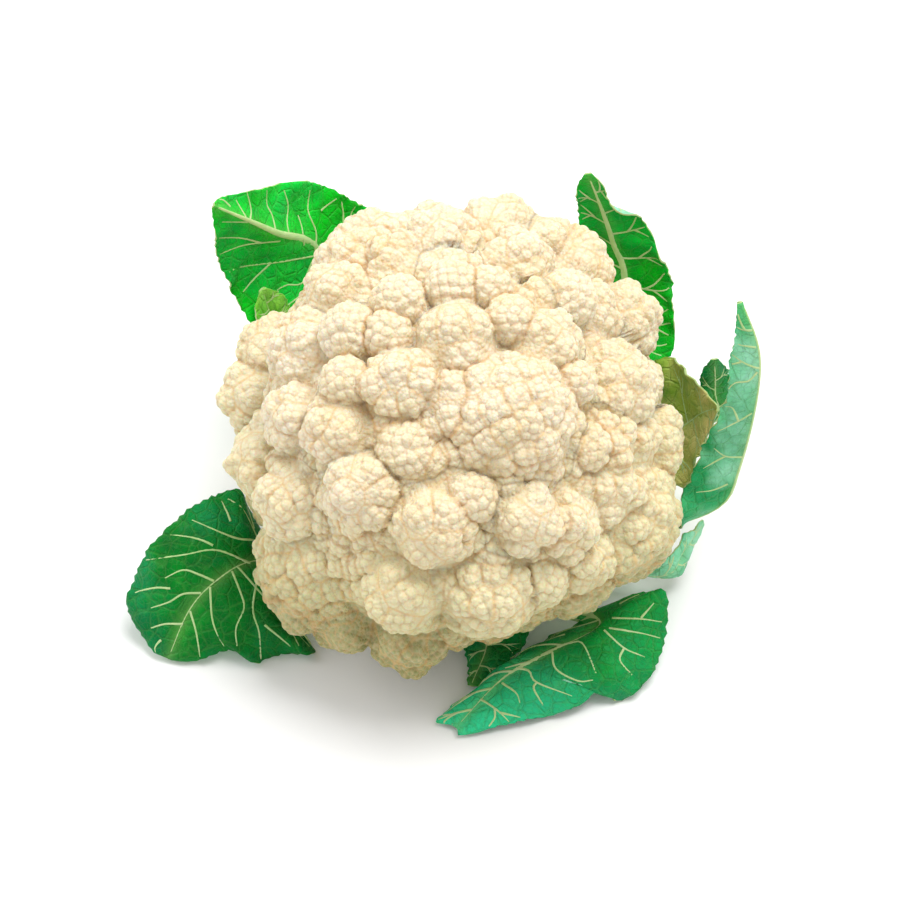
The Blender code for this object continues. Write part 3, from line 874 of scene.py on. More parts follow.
def mass_of(own):
    """The crown is mass 0, and the others follow round the head."""
    place = in_head(own.centre)
    if place.angle(Z_AXIS) < CROWN_ANGLE:
        return 0
    turn = math.atan2(place.y, place.x) / (2.0 * math.pi) % 1.0
    return 1 + int(turn * (MASSES - 1))


def part_skin():
    """Separates the skin by mass."""
    masses = np.array([mass_of(own) for own in florets])
    corners = np.empty(len(skin.data.loops), dtype=np.int32)
    skin.data.loops.foreach_get("vertex_index", corners)
    for index in range(MASSES):
        slot_look = bpy.data.materials.new(f"mass {index}")
        skin.data.materials.append(slot_look)
    skin.data.polygons.foreach_set("material_index", masses[skin_floret[corners[::3]]].astype(np.int32))
    skin.data.shade_smooth()
    pick_only(skin)
    bpy.ops.object.mode_set(mode="EDIT")
    bpy.ops.mesh.select_all(action="SELECT")
    bpy.ops.mesh.separate(type="MATERIAL")
    bpy.ops.object.mode_set(mode="OBJECT")
    return list(bpy.context.selected_objects)


def open_edges(mesh):
    """How many edges have only one face."""
    edges = np.empty(len(mesh.loops), dtype=np.int32)
    mesh.loops.foreach_get("edge_index", edges)
    return int((np.bincount(edges, minlength=len(mesh.edges)) < 2).sum())


def close_part(thing):
    """Draws a part's open edge in to the head's middle."""
    pick_only(thing)
    bpy.context.scene.cursor.location = HEAD_CENTRE * MM
    bpy.ops.object.mode_set(mode="EDIT")
    bpy.ops.mesh.select_mode(type="EDGE")
    bpy.ops.mesh.select_all(action="DESELECT")
    bpy.ops.mesh.select_non_manifold()
    bpy.ops.mesh.mark_sharp()
    bpy.ops.mesh.extrude_edges_move()
    bpy.ops.mesh.merge(type="CURSOR")
    bpy.ops.object.mode_set(mode="OBJECT")


def build_masses():
    pieces = []
    for index, thing in enumerate(part_skin()):
        close_part(thing)
        mesh = thing.data
        mesh.name = f"curd_mass_{index}"
        mesh.materials.clear()
        mesh.materials.append(curd_look)
        bpy.data.objects.remove(thing)
        pieces.append(add_piece(mesh.name, mesh, "curd_flesh", "curd"))
    for index in range(MASSES):
        bpy.data.materials.remove(bpy.data.materials[f"mass {index}"])
    return pieces


curd_pieces = build_masses()
print("faces on each mass:", [len(piece.data.polygons) for piece in curd_pieces])
print("open edges on each mass:", [open_edges(piece.data) for piece in curd_pieces])

# %% [markdown]
# ## The branches under the curd
#
# Seen from below, each outer floret stands on a pale stem, and all the stems run in to one thick seat on
# top of the stalk. Each is a tube: a grid wrapped round on itself, its seam merged. The same function
# will make the leaves' midribs.

# %% Tubes
SEAM_GAP = 0.01


def tube(name, centres, across, up, rounds=12):
    """A closed tube through centres. across and up are half the section's axes, as vectors, at each."""
    steps = len(centres) - 1
    bpy.ops.object.select_all(action="DESELECT")
    bpy.ops.mesh.primitive_grid_add(x_subdivisions=rounds, y_subdivisions=steps, size=2.0)
    thing = bpy.context.object
    flat = places_of(thing.data)
    turn = (flat[:, 0] + 1.0) * math.pi
    row = np.rint((flat[:, 1] + 1.0) * steps / 2).astype(int)
    places = (
        np.array(centres)[row]
        + np.array(across)[row] * np.cos(turn)[:, None]
        + np.array(up)[row] * np.sin(turn)[:, None]
    )
    thing.data.vertices.foreach_set("co", (places * MM).ravel())
    bpy.ops.object.mode_set(mode="EDIT")
    bpy.ops.mesh.select_all(action="SELECT")
    bpy.ops.mesh.remove_doubles(threshold=SEAM_GAP * MM)
    bpy.ops.mesh.select_all(action="SELECT")
    bpy.ops.mesh.normals_make_consistent(inside=False)
    bpy.ops.object.mode_set(mode="OBJECT")
    mesh = thing.data
    mesh.name = name
    mesh.shade_smooth()
    bpy.data.objects.remove(thing)
    return mesh


# %% The branches and their seat
BRANCH_FOOT = Vector((0.0, 0.0, 38.0))
BRANCH_RIM = math.radians(80.0)
BRANCH_HALF_WIDTH = (8.0, 4.6, 7.5)  # at the foot, at the waist and at the floret
BRANCH_WAIST = 0.4  # how far along the waist is
BRANCH_SAG = 3.5
BRANCH_STEPS = 14
GREEN_FLESH = (0.70, 0.74, 0.46)
PALE_FLESH = (0.82, 0.82, 0.62)
SEAT_ROUNDS = 48
SEAT_FOOT = 16.4
SEAT_RINGS = ((22.5, 16.4), (24.0, 20.0), (26.0, 26.0), (30.0, 34.0), (37.0, 44.0), (30.0, 52.0))


def flesh_material():
    look = Look("curd flesh", 0.5)
    look.coloured(look.blended(look.patchy(30.0, 200.0), GREEN_FLESH, PALE_FLESH))
    look.raised(look.clouds(500.0, 2.0), 0.0003)
    look.fleshy(0.3, (0.003, 0.003, 0.0015))
    return look.material


flesh_look = flesh_material()


def build_branch(index, own):
    way = own.centre - BRANCH_FOOT
    side = way.cross(Z_AXIS).normalized()
    lift = side.cross(way).normalized()
    centres, across, up = [], [], []
    at_foot, at_waist, at_floret = BRANCH_HALF_WIDTH
    for step in range(BRANCH_STEPS + 1):
        share = step / BRANCH_STEPS
        if share < BRANCH_WAIST:
            half = at_foot + (at_waist - at_foot) * (share / BRANCH_WAIST)
        else:
            half = at_waist + (at_floret - at_waist) * ((share - BRANCH_WAIST) / (1.0 - BRANCH_WAIST)) ** 2
        half *= 0.0 if step in (0, BRANCH_STEPS) else 1.0
        sag = -BRANCH_SAG * math.sin(math.pi * share)
        centres.append(BRANCH_FOOT + way * share + lift * sag)
        across.append(side * half)
        up.append(lift * half)
    mesh = tube(f"branch_{index:03d}", centres, across, up)
    mesh.materials.append(flesh_look)
    return add_piece(mesh.name, mesh, "curd_flesh", "curd")


def build_seat():
    heights = [SEAT_FOOT] + [height for _, height in SEAT_RINGS] + [SEAT_RINGS[-1][1]]
    centres = [Z_AXIS * height for height in heights]
    halves = [0.0] + [half for half, _ in SEAT_RINGS] + [0.0]
    across = [X_AXIS * half for half in halves]
    up = [Vector((0.0, half, 0.0)) for half in halves]
    mesh = tube("curd_seat", centres, across, up, rounds=SEAT_ROUNDS)
    mesh.materials.append(flesh_look)
    return add_piece(mesh.name, mesh, "curd_flesh", "curd")


rim = [
    (index, own) for index, own in enumerate(florets)
    if not own.seen and (own.centre - HEAD_CENTRE).angle(HEAD_AXIS) > BRANCH_RIM
]
branches = [build_branch(index, own) for index, own in rim]
seat = build_seat()
print("branches:", len(branches))

# %% [markdown]
# ## The stump
#
# Below the curd the stalk is cut off flat, and so are some of the outer leaves: their stubs stay on it.
# The skin is pale green with fine upright fibres, and the cut edges have dried a little brown. It is
# turned on the same tubes as the branches: one for the stump, whose rings swell towards the curd, and one
# for each stub.

# %% The stump and its stubs
STUMP_RINGS = ((20.4, 0.0), (21.6, 0.3), (22.5, 1.2), (23.0, 3.0), (22.8, 6.0), (23.4, 9.0), (23.8, 12.5),
               (24.5, 15.2), (23.6, 16.0))  # half width and height
STUB_AZIMUTHS = (92.0, 172.0, 236.0)
STUB_HEIGHT = 7.8
STUB_RISE = 0.1
STUB_RINGS = ((6.2, 11.5), (6.0, 20.0), (5.9, 25.0), (5.3, 30.0), (5.2, 33.4), (4.7, 34.0))  # and reach
STUB_FLATNESS = 0.85
STUMP_ROUNDS = 64
STUB_ROUNDS = 24
STALK_GREEN = (0.58, 0.68, 0.32)
PALE_STALK = (0.78, 0.80, 0.56)
FIBRE_GREEN = (0.44, 0.56, 0.22)
DRIED = (0.50, 0.36, 0.17)
DRIED_HEIGHTS = (0.0015, 0.0003)  # in metres, from the first trace of it to its full tone


def stump_material():
    look = Look("stump", 0.5)
    tone = look.blended(look.patchy(45.0, 300.0), STALK_GREEN, PALE_STALK)
    upright = look.nodes.new("ShaderNodeMapping")
    upright.inputs["Scale"].default_value = (1.0, 1.0, 0.08)
    look.join(look.places.outputs["Object"], upright.inputs["Vector"])
    fibres = look.nodes.new("ShaderNodeTexNoise")
    fibres.inputs["Scale"].default_value = 700.0
    look.join(upright.outputs["Vector"], fibres.inputs["Vector"])
    darker = look.scaled(look.spread(fibres.outputs["Fac"], 0.5, 0.7), 0.35)
    tone = look.blended(darker, tone, FIBRE_GREEN)
    near_cut = look.scaled(look.spread(look.height(), *DRIED_HEIGHTS), 0.7)
    tone = look.blended(near_cut, tone, DRIED)
    look.coloured(tone)
    look.raised(fibres.outputs["Fac"], 0.0003)
    look.fleshy(0.25, (0.003, 0.003, 0.0015))
    return look.material


stump_look = stump_material()


def turned(name, rings, place, across, up, rounds):
    """A closed tube whose rings are given as half widths and how far along they stand."""
    halves = [0.0] + [half for half, _ in rings] + [0.0]
    along_it = [rings[0][1]] + [reach for _, reach in rings] + [rings[-1][1]]
    centres = [place(reach) for reach in along_it]
    mesh = tube(name, centres, [across * half for half in halves], [up * half for half in halves], rounds)
    mesh.materials.append(stump_look)
    return add_piece(mesh.name, mesh, "stalk_flesh", "stalk")


def build_stub(azimuth):
    out = Vector((math.cos(math.radians(azimuth)), math.sin(math.radians(azimuth)), STUB_RISE))
    side = Z_AXIS.cross(out).normalized()
    lift = out.cross(side).normalized() * STUB_FLATNESS
    return turned(
        f"stub_{azimuth:.0f}", STUB_RINGS, lambda reach: Z_AXIS * STUB_HEIGHT + out * reach, side, lift,
        STUB_ROUNDS
    )


y_axis = Vector((0.0, 1.0, 0.0))
stump = turned("stump", STUMP_RINGS, lambda reach: Z_AXIS * reach, X_AXIS, y_axis, STUMP_ROUNDS)
stubs = [build_stub(azimuth) for azimuth in STUB_AZIMUTHS]
print("stubs:", len(stubs))

# %% [markdown]
# ## The leaves' shapes
#
# A cauliflower leaf is a thick pale midrib with a thin green blade on both sides. The blade is puckered
# between its veins, waved at the margin, and finely toothed. Each leaf is described by where its midrib
# and its two margins are seen in the picture, and by how high they stand.

# %% The table of leaves
# A leaf is drawn by its midrib and its two margins. The foot's two points, by the stalk, are x, y and z.
# All others are across, up and height: where they are seen, and how high they stand above the surface.
# Left and right are as seen along the midrib with the leaf's upper face up.
Leaf = namedtuple("Leaf", "name foot rib left right petiole rib_width bulge wave waves large young")
LEAVES = [
    Leaf(
        name="leaf_front_left",
        foot=((-23.5, -11, 8), (-46, -22, 9)),
        rib=((-69.5, -44.3, 24), (-83, -51.4, 24), (-92.6, -62, 16), (-100, -79, 2.5)),
        left=((-56, -66, 9), (-47.5, -76.2, 2), (-59.6, -77.7, 3), (-69, -80.1, 2), (-78, -76.2, 5),
              (-91.1, -80, 2)),
        right=((-71, -26, 30), (-78, -18.8, 38), (-98.9, -30.9, 34), (-111.3, -48, 22), (-114.2, -61, 12),
               (-106.4, -75.2, 4)),
        petiole=0.42, rib_width=5.5, bulge=3.0, wave=1.6, waves=5, large=True, young=False,
    ),
    Leaf(
        name="leaf_front_right",
        foot=((15.5, -21, 8), (31, -39, 9)),
        rib=((53.2, -66, 13), (33.7, -77.3, 14), (18, -86.5, 9), (2, -103.5, 2.5)),
        left=((74, -54, 22), (77.3, -64.2, 15), (73, -82, 6), (61, -94, 2), (53.2, -89.5, 6),
              (44, -96.5, 4), (19.9, -102.5, 3), (4, -106.2, 2)),
        right=((44, -67, 9), (30, -75, 9), (17.7, -83.7, 6), (8.5, -91.1, 3), (-5, -100.5, 2)),
        petiole=0.36, rib_width=5.5, bulge=3.0, wave=1.2, waves=5, large=True, young=False,
    ),
    Leaf(
        name="leaf_front_dark",
        foot=((1, -26, 7), (5, -38, 7)),
        rib=((13, -72, 6), (7.5, -88.5, 3)),
        left=((28, -62, 9), (27, -72, 7), (14, -88, 4)),
        right=((3, -68, 5), (6, -80, 3)),
        petiole=0.30, rib_width=4.0, bulge=1.0, wave=1.0, waves=3, large=False, young=False,
    ),
    Leaf(
        name="leaf_back_left",
        foot=((-13, 22.5, 9), (-31, 50, 26)),
        rib=((-44, 63.1, 64), (-62, 72.3, 92), (-83.5, 81.6, 118)),
        left=((-52, 40, 50), (-68.8, 37.9, 60), (-75.2, 48.2, 72), (-81.4, 61, 90), (-84, 76.6, 110)),
        right=((-25, 74, 70), (-37.2, 85.1, 82), (-52, 90.4, 97), (-66.7, 87.6, 107), (-80, 85, 116)),
        petiole=0.42, rib_width=5.5, bulge=-3.0, wave=1.6, waves=5, large=True, young=False,
    ),
    Leaf(
        name="leaf_back_left_small",
        foot=((-21, 15, 8), (-46, 35, 17)),
        rib=((-61, 37, 57), (-66.7, 52.1, 77)),
        left=((-65, 33, 57), (-69, 42, 69)),
        right=((-56, 40, 57), (-58, 49, 68)),
        petiole=0.55, rib_width=3.5, bulge=0.5, wave=0.6, waves=3, large=False, young=True,
    ),
    Leaf(
        name="leaf_back_right",
        foot=((13, 22.5, 9), (36, 46, 24)),
        rib=((60.3, 50, 58), (57.4, 69.5, 80), (48.9, 92.9, 115)),
        left=((40, 55, 58), (43, 67, 74), (45.7, 75.5, 88), (45, 87.2, 106)),
        right=((76, 27, 40), (79.4, 41.1, 52), (76.5, 60, 72), (67, 77, 92), (57, 81, 99), (54.5, 88, 108)),
        petiole=0.40, rib_width=5.0, bulge=-2.0, wave=2.0, waves=5, large=True, young=False,
    ),
    Leaf(
        name="leaf_right_inner",
        foot=((25, 8, 8), (52, 15, 14)),
        rib=((80, 2, 34), (89, 8, 50), (94.7, 9.9, 62)),
        left=((70, 18, 38), (73, 26.6, 50), (79, 27.2, 54), (87, 19, 59)),
        right=((82, -18, 24), (87, -10, 38), (92, 2.5, 52)),
        petiole=0.40, rib_width=4.2, bulge=-1.0, wave=0.6, waves=3, large=False, young=True,
    ),
    Leaf(
        name="leaf_right_dark",
        foot=((20.5, 16, 9), (56, 33, 16)),
        rib=((92, 4, 36), (94, 16, 56), (93.8, 27, 72)),
        left=((88, 8, 42), (88.7, 21, 62)),
        right=((98, 8, 40), (99.5, 21, 61)),
        petiole=0.50, rib_width=3.5, bulge=0.5, wave=0.6, waves=3, large=False, young=False,
    ),
    Leaf(
        name="leaf_right_upright",
        foot=((26, -2.5, 9), (55, -11, 12)),
        rib=((92.2, -26.6, 30), (102.8, -9.9, 52), (109.6, 24.8, 98), (103.2, 47.5, 122)),
        left=((90, -18, 36), (96, -6, 52), (99.5, 7.7, 68), (102, 20, 86), (101.5, 34, 106)),
        right=((81, -26.6, 35), (83.5, -18, 45), (92.6, 2.5, 70), (98.2, 14, 85), (99, 25, 97),
               (101.5, 38, 112)),
        petiole=0.36, rib_width=5.0, bulge=-1.2, wave=0.6, waves=5, large=True, young=False,
    ),
    Leaf(
        name="leaf_right_low",
        foot=((22.5, -13, 8), (50, -23, 8)),
        rib=((75.5, -49, 12), (82, -41, 17), (89.5, -30.5, 19)),
        left=((80, -49, 8), (86, -39, 13)),
        right=((75, -45, 17), (82, -36.5, 23)),
        petiole=0.52, rib_width=3.5, bulge=-1.0, wave=0.8, waves=4, large=False, young=False,
    ),
]


RIB_TAPER = 0.7
RIB_TIP_HALF_WIDTH = 1.0
PETIOLE_SPREAD = 1.15  # the bare petiole's edge, as a share of the midrib's half width
TIP_HALF_WIDTH = 1.5
WAVE_LAG = 1.7  # the right margin's waves run this far behind the left's, in radians
LITTLE = 0.01  # a small share of the midrib, to see which way it runs
print("leaves:", len(LEAVES))

# %% A leaf's surface


def along(points, share):
    """A smooth curve through the points, at a share of its length."""
    lengths = [0.0]
    for here, there in zip(points, points[1:]):
        lengths.append(lengths[-1] + (there - here).length)
    place = min(max(share, 0.0), 1.0) * lengths[-1]
    span = max(index for index in range(len(points) - 1) if lengths[index] <= place)
    t = (place - lengths[span]) / (lengths[span + 1] - lengths[span])
    here, there = points[span], points[span + 1]
    before = points[span - 1] if span else here * 2 - there
    after = points[span + 2] if span + 2 < len(points) else there * 2 - here
    return 0.5 * (
        here * 2
        + (there - before) * t
        + (before * 2 - here * 5 + there * 4 - after) * t**2
        + (here * 3 - before - there * 3 + after) * t**3
    )


def rib_half_width(leaf, share):
    return leaf.rib_width + (RIB_TIP_HALF_WIDTH - leaf.rib_width) * share**RIB_TAPER


def rib_points(leaf):
    return [Vector(point) for point in leaf.foot] + [seen_at_height(*point) for point in leaf.rib]


def rib_ahead(leaf, share):
    points = rib_points(leaf)
    return (along(points, share + LITTLE) - along(points, share - LITTLE)).normalized()


def petiole_edge(leaf, share, right):
    """The edge of the bare petiole, which lies level."""
    side = rib_ahead(leaf, 0.0).cross(Z_AXIS).normalized() * (1.0 if right else -1.0)
    return along(rib_points(leaf), share) + side * rib_half_width(leaf, share) * PETIOLE_SPREAD


def margin_points(leaf, right):
    """The blade's margin, from the petiole's edge to the blunt tip."""
    drawn = [seen_at_height(*point) for point in (leaf.right if right else leaf.left)]
    tip = along(rib_points(leaf), 1.0)
    ahead = rib_ahead(leaf, 1.0)
    out = drawn[-1] - tip
    out = (out - ahead * out.dot(ahead)).normalized()
    return [petiole_edge(leaf, leaf.petiole, right), *drawn, tip + out * TIP_HALF_WIDTH]


def margin_point(leaf, share, right):
    """The margin beside that share of the midrib."""
    if share <= leaf.petiole:
        return petiole_edge(leaf, share, right)
    return along(margin_points(leaf, right), (share - leaf.petiole) / (1.0 - leaf.petiole))


TOOTH_SPACING = 3.4
TOOTH_DEPTH = 0.8
TOOTH_UNEVEN = 0.5
TOOTH_INSET = 0.9  # how far the notches lie inside the drawn margin, as a share of the depth
TOOTH_POWER = 8  # the higher, the nearer to the margin the teeth begin
FRILL_SPACING = 11.0
FRILL_HEIGHT = 1.0
FRILL_WANDER = (2.0, 17.0)  # how far the frill's waves stray, and over what length
FRILL_POWER = 5
END_FADE = 3.0


def half_row(leaf, share, right, reaches, travelled, draw):
    """One row of the blade's upper face, from the midrib to a margin."""
    rib = along(rib_points(leaf), share)
    out = margin_point(leaf, share, right) - rib
    face = (out.cross(rib_ahead(leaf, share)) * (1.0 if right else -1.0)).normalized()
    blade = max(share - leaf.petiole, 0.0) / (1.0 - leaf.petiole)
    swell = math.sin(math.pi * blade)
    turn = 2 * math.pi * leaf.waves * blade + (WAVE_LAG if right else 0.0)
    notch = abs(math.sin(math.pi * travelled / TOOTH_SPACING))
    tooth = TOOTH_DEPTH * (draw.random() * TOOTH_UNEVEN + notch - TOOTH_INSET)
    stray = FRILL_WANDER[0] * math.sin(travelled / FRILL_WANDER[1])
    frill = FRILL_HEIGHT * math.sin(2 * math.pi * travelled / FRILL_SPACING + stray)
    row = []
    for reach in reaches:
        rise = leaf.bulge * math.sin(math.pi * reach) + leaf.wave * reach**2 * math.sin(turn)
        rise += frill * reach**FRILL_POWER
        longer = out.normalized() * tooth * reach**TOOTH_POWER
        row.append(rib + out * reach + face * (rise * swell) + longer * min(swell * END_FADE, 1.0))
    return row


def blade_surface(leaf, rows, columns, draw):
    """The upper face as a grid of points: one row per share of the midrib, from left to right."""
    half = columns // 2
    reaches = [step / half for step in range(half + 1)]
    travelled = {True: 0.0, False: 0.0}
    before = {}
    surface = []
    for row in range(rows + 1):
        share = row / rows
        sides = {}
        for right in (True, False):
            edge = margin_point(leaf, share, right)
            if right in before:
                travelled[right] += (edge - before[right]).length
            before[right] = edge
            sides[right] = half_row(leaf, share, right, reaches, travelled[right], draw)
        surface.append(sides[False][:0:-1] + sides[True])
    return np.array([[tuple(point) for point in row] for row in surface])


LARGE_GRID = (128, 48)
SMALL_GRID = (80, 32)
LEAF_SEED = 5

surfaces = {}
for order, leaf in enumerate(LEAVES):
    rows, columns = LARGE_GRID if leaf.large else SMALL_GRID
    surfaces[leaf.name] = blade_surface(leaf, rows, columns, np.random.default_rng(LEAF_SEED + order))
print("points on the first blade:", surfaces[LEAVES[0].name].shape)

# %% [markdown]
# ## The veins
#
# Veins leave the midrib in pairs, run out towards the margin and fork. Where they are seen they are
# drawn from the picture, each as a few pixels that are dropped along the line of sight onto the blade.
# The hidden ones follow a rule: evenly spaced along the midrib and bending towards the tip.

# %% The veins that are seen
SEEN_VEINS = {
    "leaf_back_left": [
        ((315, 250), (316, 232), (308, 210), (310, 190)), ((304, 245), (302, 228), (298, 215)),
        ((290, 238), (287, 222), (288, 205), (284, 190)), ((276, 232), (272, 215), (267, 205), (267, 190)),
        ((250, 220), (251, 210), (247, 192)), ((246, 217), (236, 200)),
        ((315, 256), (280, 262), (241, 267), (225, 275)), ((280, 241), (245, 245), (220, 254)),
        ((248, 222), (222, 222)), ((312, 262), (302, 283), (287, 285), (277, 290)),
        ((262, 243), (240, 238), (219, 238)), ((270, 264), (254, 279), (243, 292)),
    ],
    "leaf_front_right": [
        ((557, 647), (570, 643), (583, 644), (596, 673)), ((552, 652), (556, 669), (578, 681), (593, 680)),
        ((516, 668), (529, 671), (536, 682), (572, 696)), ((536, 683), (534, 689), (543, 705)),
        ((502, 683), (516, 693), (520, 703)), ((604, 630), (624, 648), (645, 657)),
        ((624, 648), (620, 660), (632, 675)), ((609, 628), (640, 633), (660, 638)),
        ((612, 618), (641, 619), (662, 622)), ((641, 618), (654, 603)), ((530, 662), (520, 664), (505, 668)),
    ],
    "leaf_front_left": [
        ((214, 581), (198, 574), (183, 570), (165, 578)), ((201, 593), (183, 594), (169, 602), (151, 608)),
        ((183, 624), (165, 624), (151, 628)), ((232, 571), (241, 594), (244, 608), (236, 628), (237, 646)),
        ((210, 587), (212, 618), (218, 636), (224, 646)), ((190, 611), (196, 632), (200, 657)),
        ((258, 575), (253, 609), (259, 632), (261, 659)), ((250, 563), (216, 550), (183, 555), (146, 560)),
        ((254, 540), (233, 537), (192, 520)),
    ],
    "leaf_right_upright": [
        ((760, 347), (745, 345), (738, 343)), ((757, 371), (748, 380), (735, 382), (728, 390)),
        ((751, 412), (738, 420), (718, 430)), ((738, 420), (733, 407), (726, 405)),
        ((741, 456), (725, 455), (714, 447)), ((725, 455), (703, 467)), ((727, 483), (712, 489), (696, 491)),
    ],
}
VEIN_HALF_WIDTH = (0.62, 0.44)  # where it starts and where it ends; it lies half a blade deep
SMALL_LEAF_VEIN = 0.85  # a small leaf's veins, as a share of a large one's
VEIN_STEPS = 16
FEWEST_HITS = 4  # a drawn vein that meets the blade at fewer points is left out
VEIN_CLEAR = 5.0  # a hidden vein keeps this far from the seen ones
SIDE_VEINS = {True: 7, False: 4}
VEIN_LEAN = 0.16
VEIN_BEND = 1.3
VEIN_STAGGER = 0.02  # one side's veins start this much nearer the tip, and the other's nearer the foot
VEIN_END = 0.93
LAST_VEIN = 0.96
FIRST_GAP = 0.4  # from the petiole to the first vein, as a share of the gap between veins
VEIN_FORKS = ((0.42, 0.05), (0.62, -0.035))  # where each starts on its vein, and how far it turns off
FORK_STEPS = 8
FORK_END = 0.95


def drape(surface):
    """A tree that rays can be cast at."""
    rows, columns = surface.shape[:2]
    faces = []
    for row in range(rows - 1):
        for column in range(columns - 1):
            corner = row * columns + column
            faces.append((corner, corner + 1, corner + columns + 1, corner + columns))
    return BVHTree.FromPolygons(surface.reshape(-1, 3).tolist(), faces)


def seen_vein(pixels, tree):
    """A vein drawn in the picture, dropped onto the blade."""
    drawn = [Vector((across, up, 0.0)) for across, up in pixels]
    points = []
    for step in range(VEIN_STEPS + 1):
        pixel = along(drawn, step / VEIN_STEPS)
        hit = tree.ray_cast(EYE, picture_line(pixel))
        if hit[0] is not None:
            points.append(hit[0])
    return points


def on_surface(surface, share, reach):
    """The blade's point at a share of the midrib and a signed share of the way to the margin."""
    rows, columns = surface.shape[:2]
    row = min(max(share, 0.0), 1.0) * (rows - 1)
    column = (reach + 1.0) / 2.0 * (columns - 1)
    low_row, low_column = min(int(row), rows - 2), min(int(column), columns - 2)
    up, over = row - low_row, column - low_column
    corner = surface[low_row:low_row + 2, low_column:low_column + 2]
    first = corner[0, 0] * (1 - over) + corner[0, 1] * over
    second = corner[1, 0] * (1 - over) + corner[1, 1] * over
    return Vector(first * (1 - up) + second * up)


def ruled_veins(leaf, surface):
    """Side veins by rule, each with two forks."""
    count = SIDE_VEINS[leaf.large]
    veins = []
    for order in range(count):
        start = leaf.petiole + (LAST_VEIN - leaf.petiole) * (order + FIRST_GAP) / count
        for side in (-1.0, 1.0):
            lean = VEIN_LEAN * (1.0 - start)
            shift = VEIN_STAGGER * side

            def place(share, start=start, side=side, lean=lean, shift=shift):
                return start + shift + lean * share**VEIN_BEND, side * VEIN_END * share

            steps = [step / VEIN_STEPS for step in range(VEIN_STEPS + 1)]
            veins.append([on_surface(surface, *place(share)) for share in steps])
            for fork, turn in VEIN_FORKS:
                branch = []
                for step in [step / FORK_STEPS for step in range(FORK_STEPS + 1)]:
                    share, reach = place(fork + (FORK_END - fork) * step)
                    branch.append(on_surface(surface, share + turn * (1 - leaf.petiole) * step, reach))
                veins.append(branch)
    return veins


def leaf_veins(leaf, surface):
    """The seen veins, and then those ruled ones that keep clear of them."""
    tree = drape(surface)
    seen = [seen_vein(pixels, tree) for pixels in SEEN_VEINS.get(leaf.name, [])]
    seen = [points for points in seen if len(points) >= FEWEST_HITS]
    veins = list(seen)
    taken = [point for points in seen for point in points]
    for points in ruled_veins(leaf, surface):
        if not taken or min((points[-1] - other).length for other in taken) > VEIN_CLEAR:
            middle = points[len(points) // 2]
            if not taken or min((middle - other).length for other in taken) > VEIN_CLEAR:
                veins.append(points)
    return veins


veins_of = {leaf.name: leaf_veins(leaf, surfaces[leaf.name]) for leaf in LEAVES}
print("veins:", {name: len(veins) for name, veins in veins_of.items()})

# %% [markdown]
# ## The leaves' finish
#
# The upper face is a deep green under a thin, uneven bloom of wax that turns it bluish. On the front right
# leaf the wax colour also grows towards the tip as a painted sheen. The two leaves at the back are painted a
# much lighter green, as painted light on leaves that stand in the light. The underside is paler and bluer,
# because more air lies under its skin. Fine veins net the whole blade in cells of a few millimetres. A thin
# yellowish rim shows at the margin.

# %% The leaf materials
LEAF_SHEEN = (0.45, 1.0, 0.7, 1.0)
NET_GREEN = (0.16, 0.45, 0.09)
RIB_GREEN = (0.25, 0.50, 0.12)
COARSE_NET = 170.0  # cells per metre
FINE_NET = 480.0
RIM_YELLOW = (0.42, 0.55, 0.22)
VEIN_GREEN = (0.36, 0.58, 0.20)
PALE_VEIN = (0.56, 0.72, 0.34)


def leaf_material(name, dark, light, wax, wax_weight, roughness, painted_sheen_tip=0.0):
    look = Look(name, roughness)
    look.shader.inputs["Specular IOR Level"].default_value = 0.2
    look.shader.inputs["Specular Tint"].default_value = LEAF_SHEEN
    tone = look.blended(look.spread(look.mottled(22.0, 120.0), 0.38, 0.62), dark, light)
    bloom = look.scaled(look.spread(look.clouds(35.0, 4.0), 0.42, 0.62), wax_weight)
    tone = look.blended(bloom, tone, wax)
    # painted sheen: the wax colour grows towards the tip, where the blade catches the light
    tone = look.blended(look.scaled(look.spread(look.painted("tipwards"), 0.45, 0.9), painted_sheen_tip), tone, wax)
    coarse = look.spread(look.cells(COARSE_NET, "DISTANCE_TO_EDGE"), 0.09, 0.0)
    fine = look.spread(look.cells(FINE_NET, "DISTANCE_TO_EDGE"), 0.10, 0.0)
    tone = look.blended(look.scaled(coarse, 0.14), tone, NET_GREEN)
    tone = look.blended(look.scaled(fine, 0.08), tone, NET_GREEN)
    tone = look.blended(look.scaled(look.painted("near_rib"), 0.35), tone, RIB_GREEN)
    look.coloured(tone)
    look.raised(look.added(look.scaled(coarse, -1.0), look.scaled(fine, -0.4)), 0.0004)
    look.fleshy(0.08, (0.001, 0.003, 0.0005))
    return look.material


underside_look = leaf_material(
    "leaf underside", (0.0, 0.24, 0.06), (0.05, 0.50, 0.18), (0.36, 0.80, 0.55), 0.85, 0.55
)
dark_look = leaf_material("leaf", (0.0, 0.11, 0.010), (0.001, 0.24, 0.016), (0.002, 0.27, 0.10), 0.5, 0.42)
# the front right leaf carries a painted sheen towards its tip
blue_look = leaf_material(
    "bluish leaf", (0.0, 0.12, 0.008), (0.002, 0.27, 0.02), (0.04, 0.70, 0.34), 0.15, 0.42, painted_sheen_tip=0.8
)
# painted light: the same leaf green made much lighter, for the back leaves that stand in the light
painted_lit_look = leaf_material(
    "leaf with painted light", (0.0, 0.34, 0.006), (0.004, 0.74, 0.02), (0.004, 0.52, 0.18), 0.2, 0.45
)
inner_look = leaf_material(
    "inner leaf", (0.12, 0.30, 0.015), (0.42, 0.50, 0.09), (0.82, 0.68, 0.28), 0.9, 0.5
)
inner_underside = leaf_material(
    "inner leaf underside", (0.20, 0.34, 0.07), (0.46, 0.54, 0.16), (0.66, 0.62, 0.32), 0.8, 0.5
)
young_look = leaf_material(
    "young leaf", (0.03, 0.38, 0.006), (0.14, 0.66, 0.02), (0.42, 0.74, 0.14), 0.6, 0.45
)
# these leaves get the leaf green with painted light
PAINTED_LIT_LEAVES = ("leaf_back_left", "leaf_back_right")


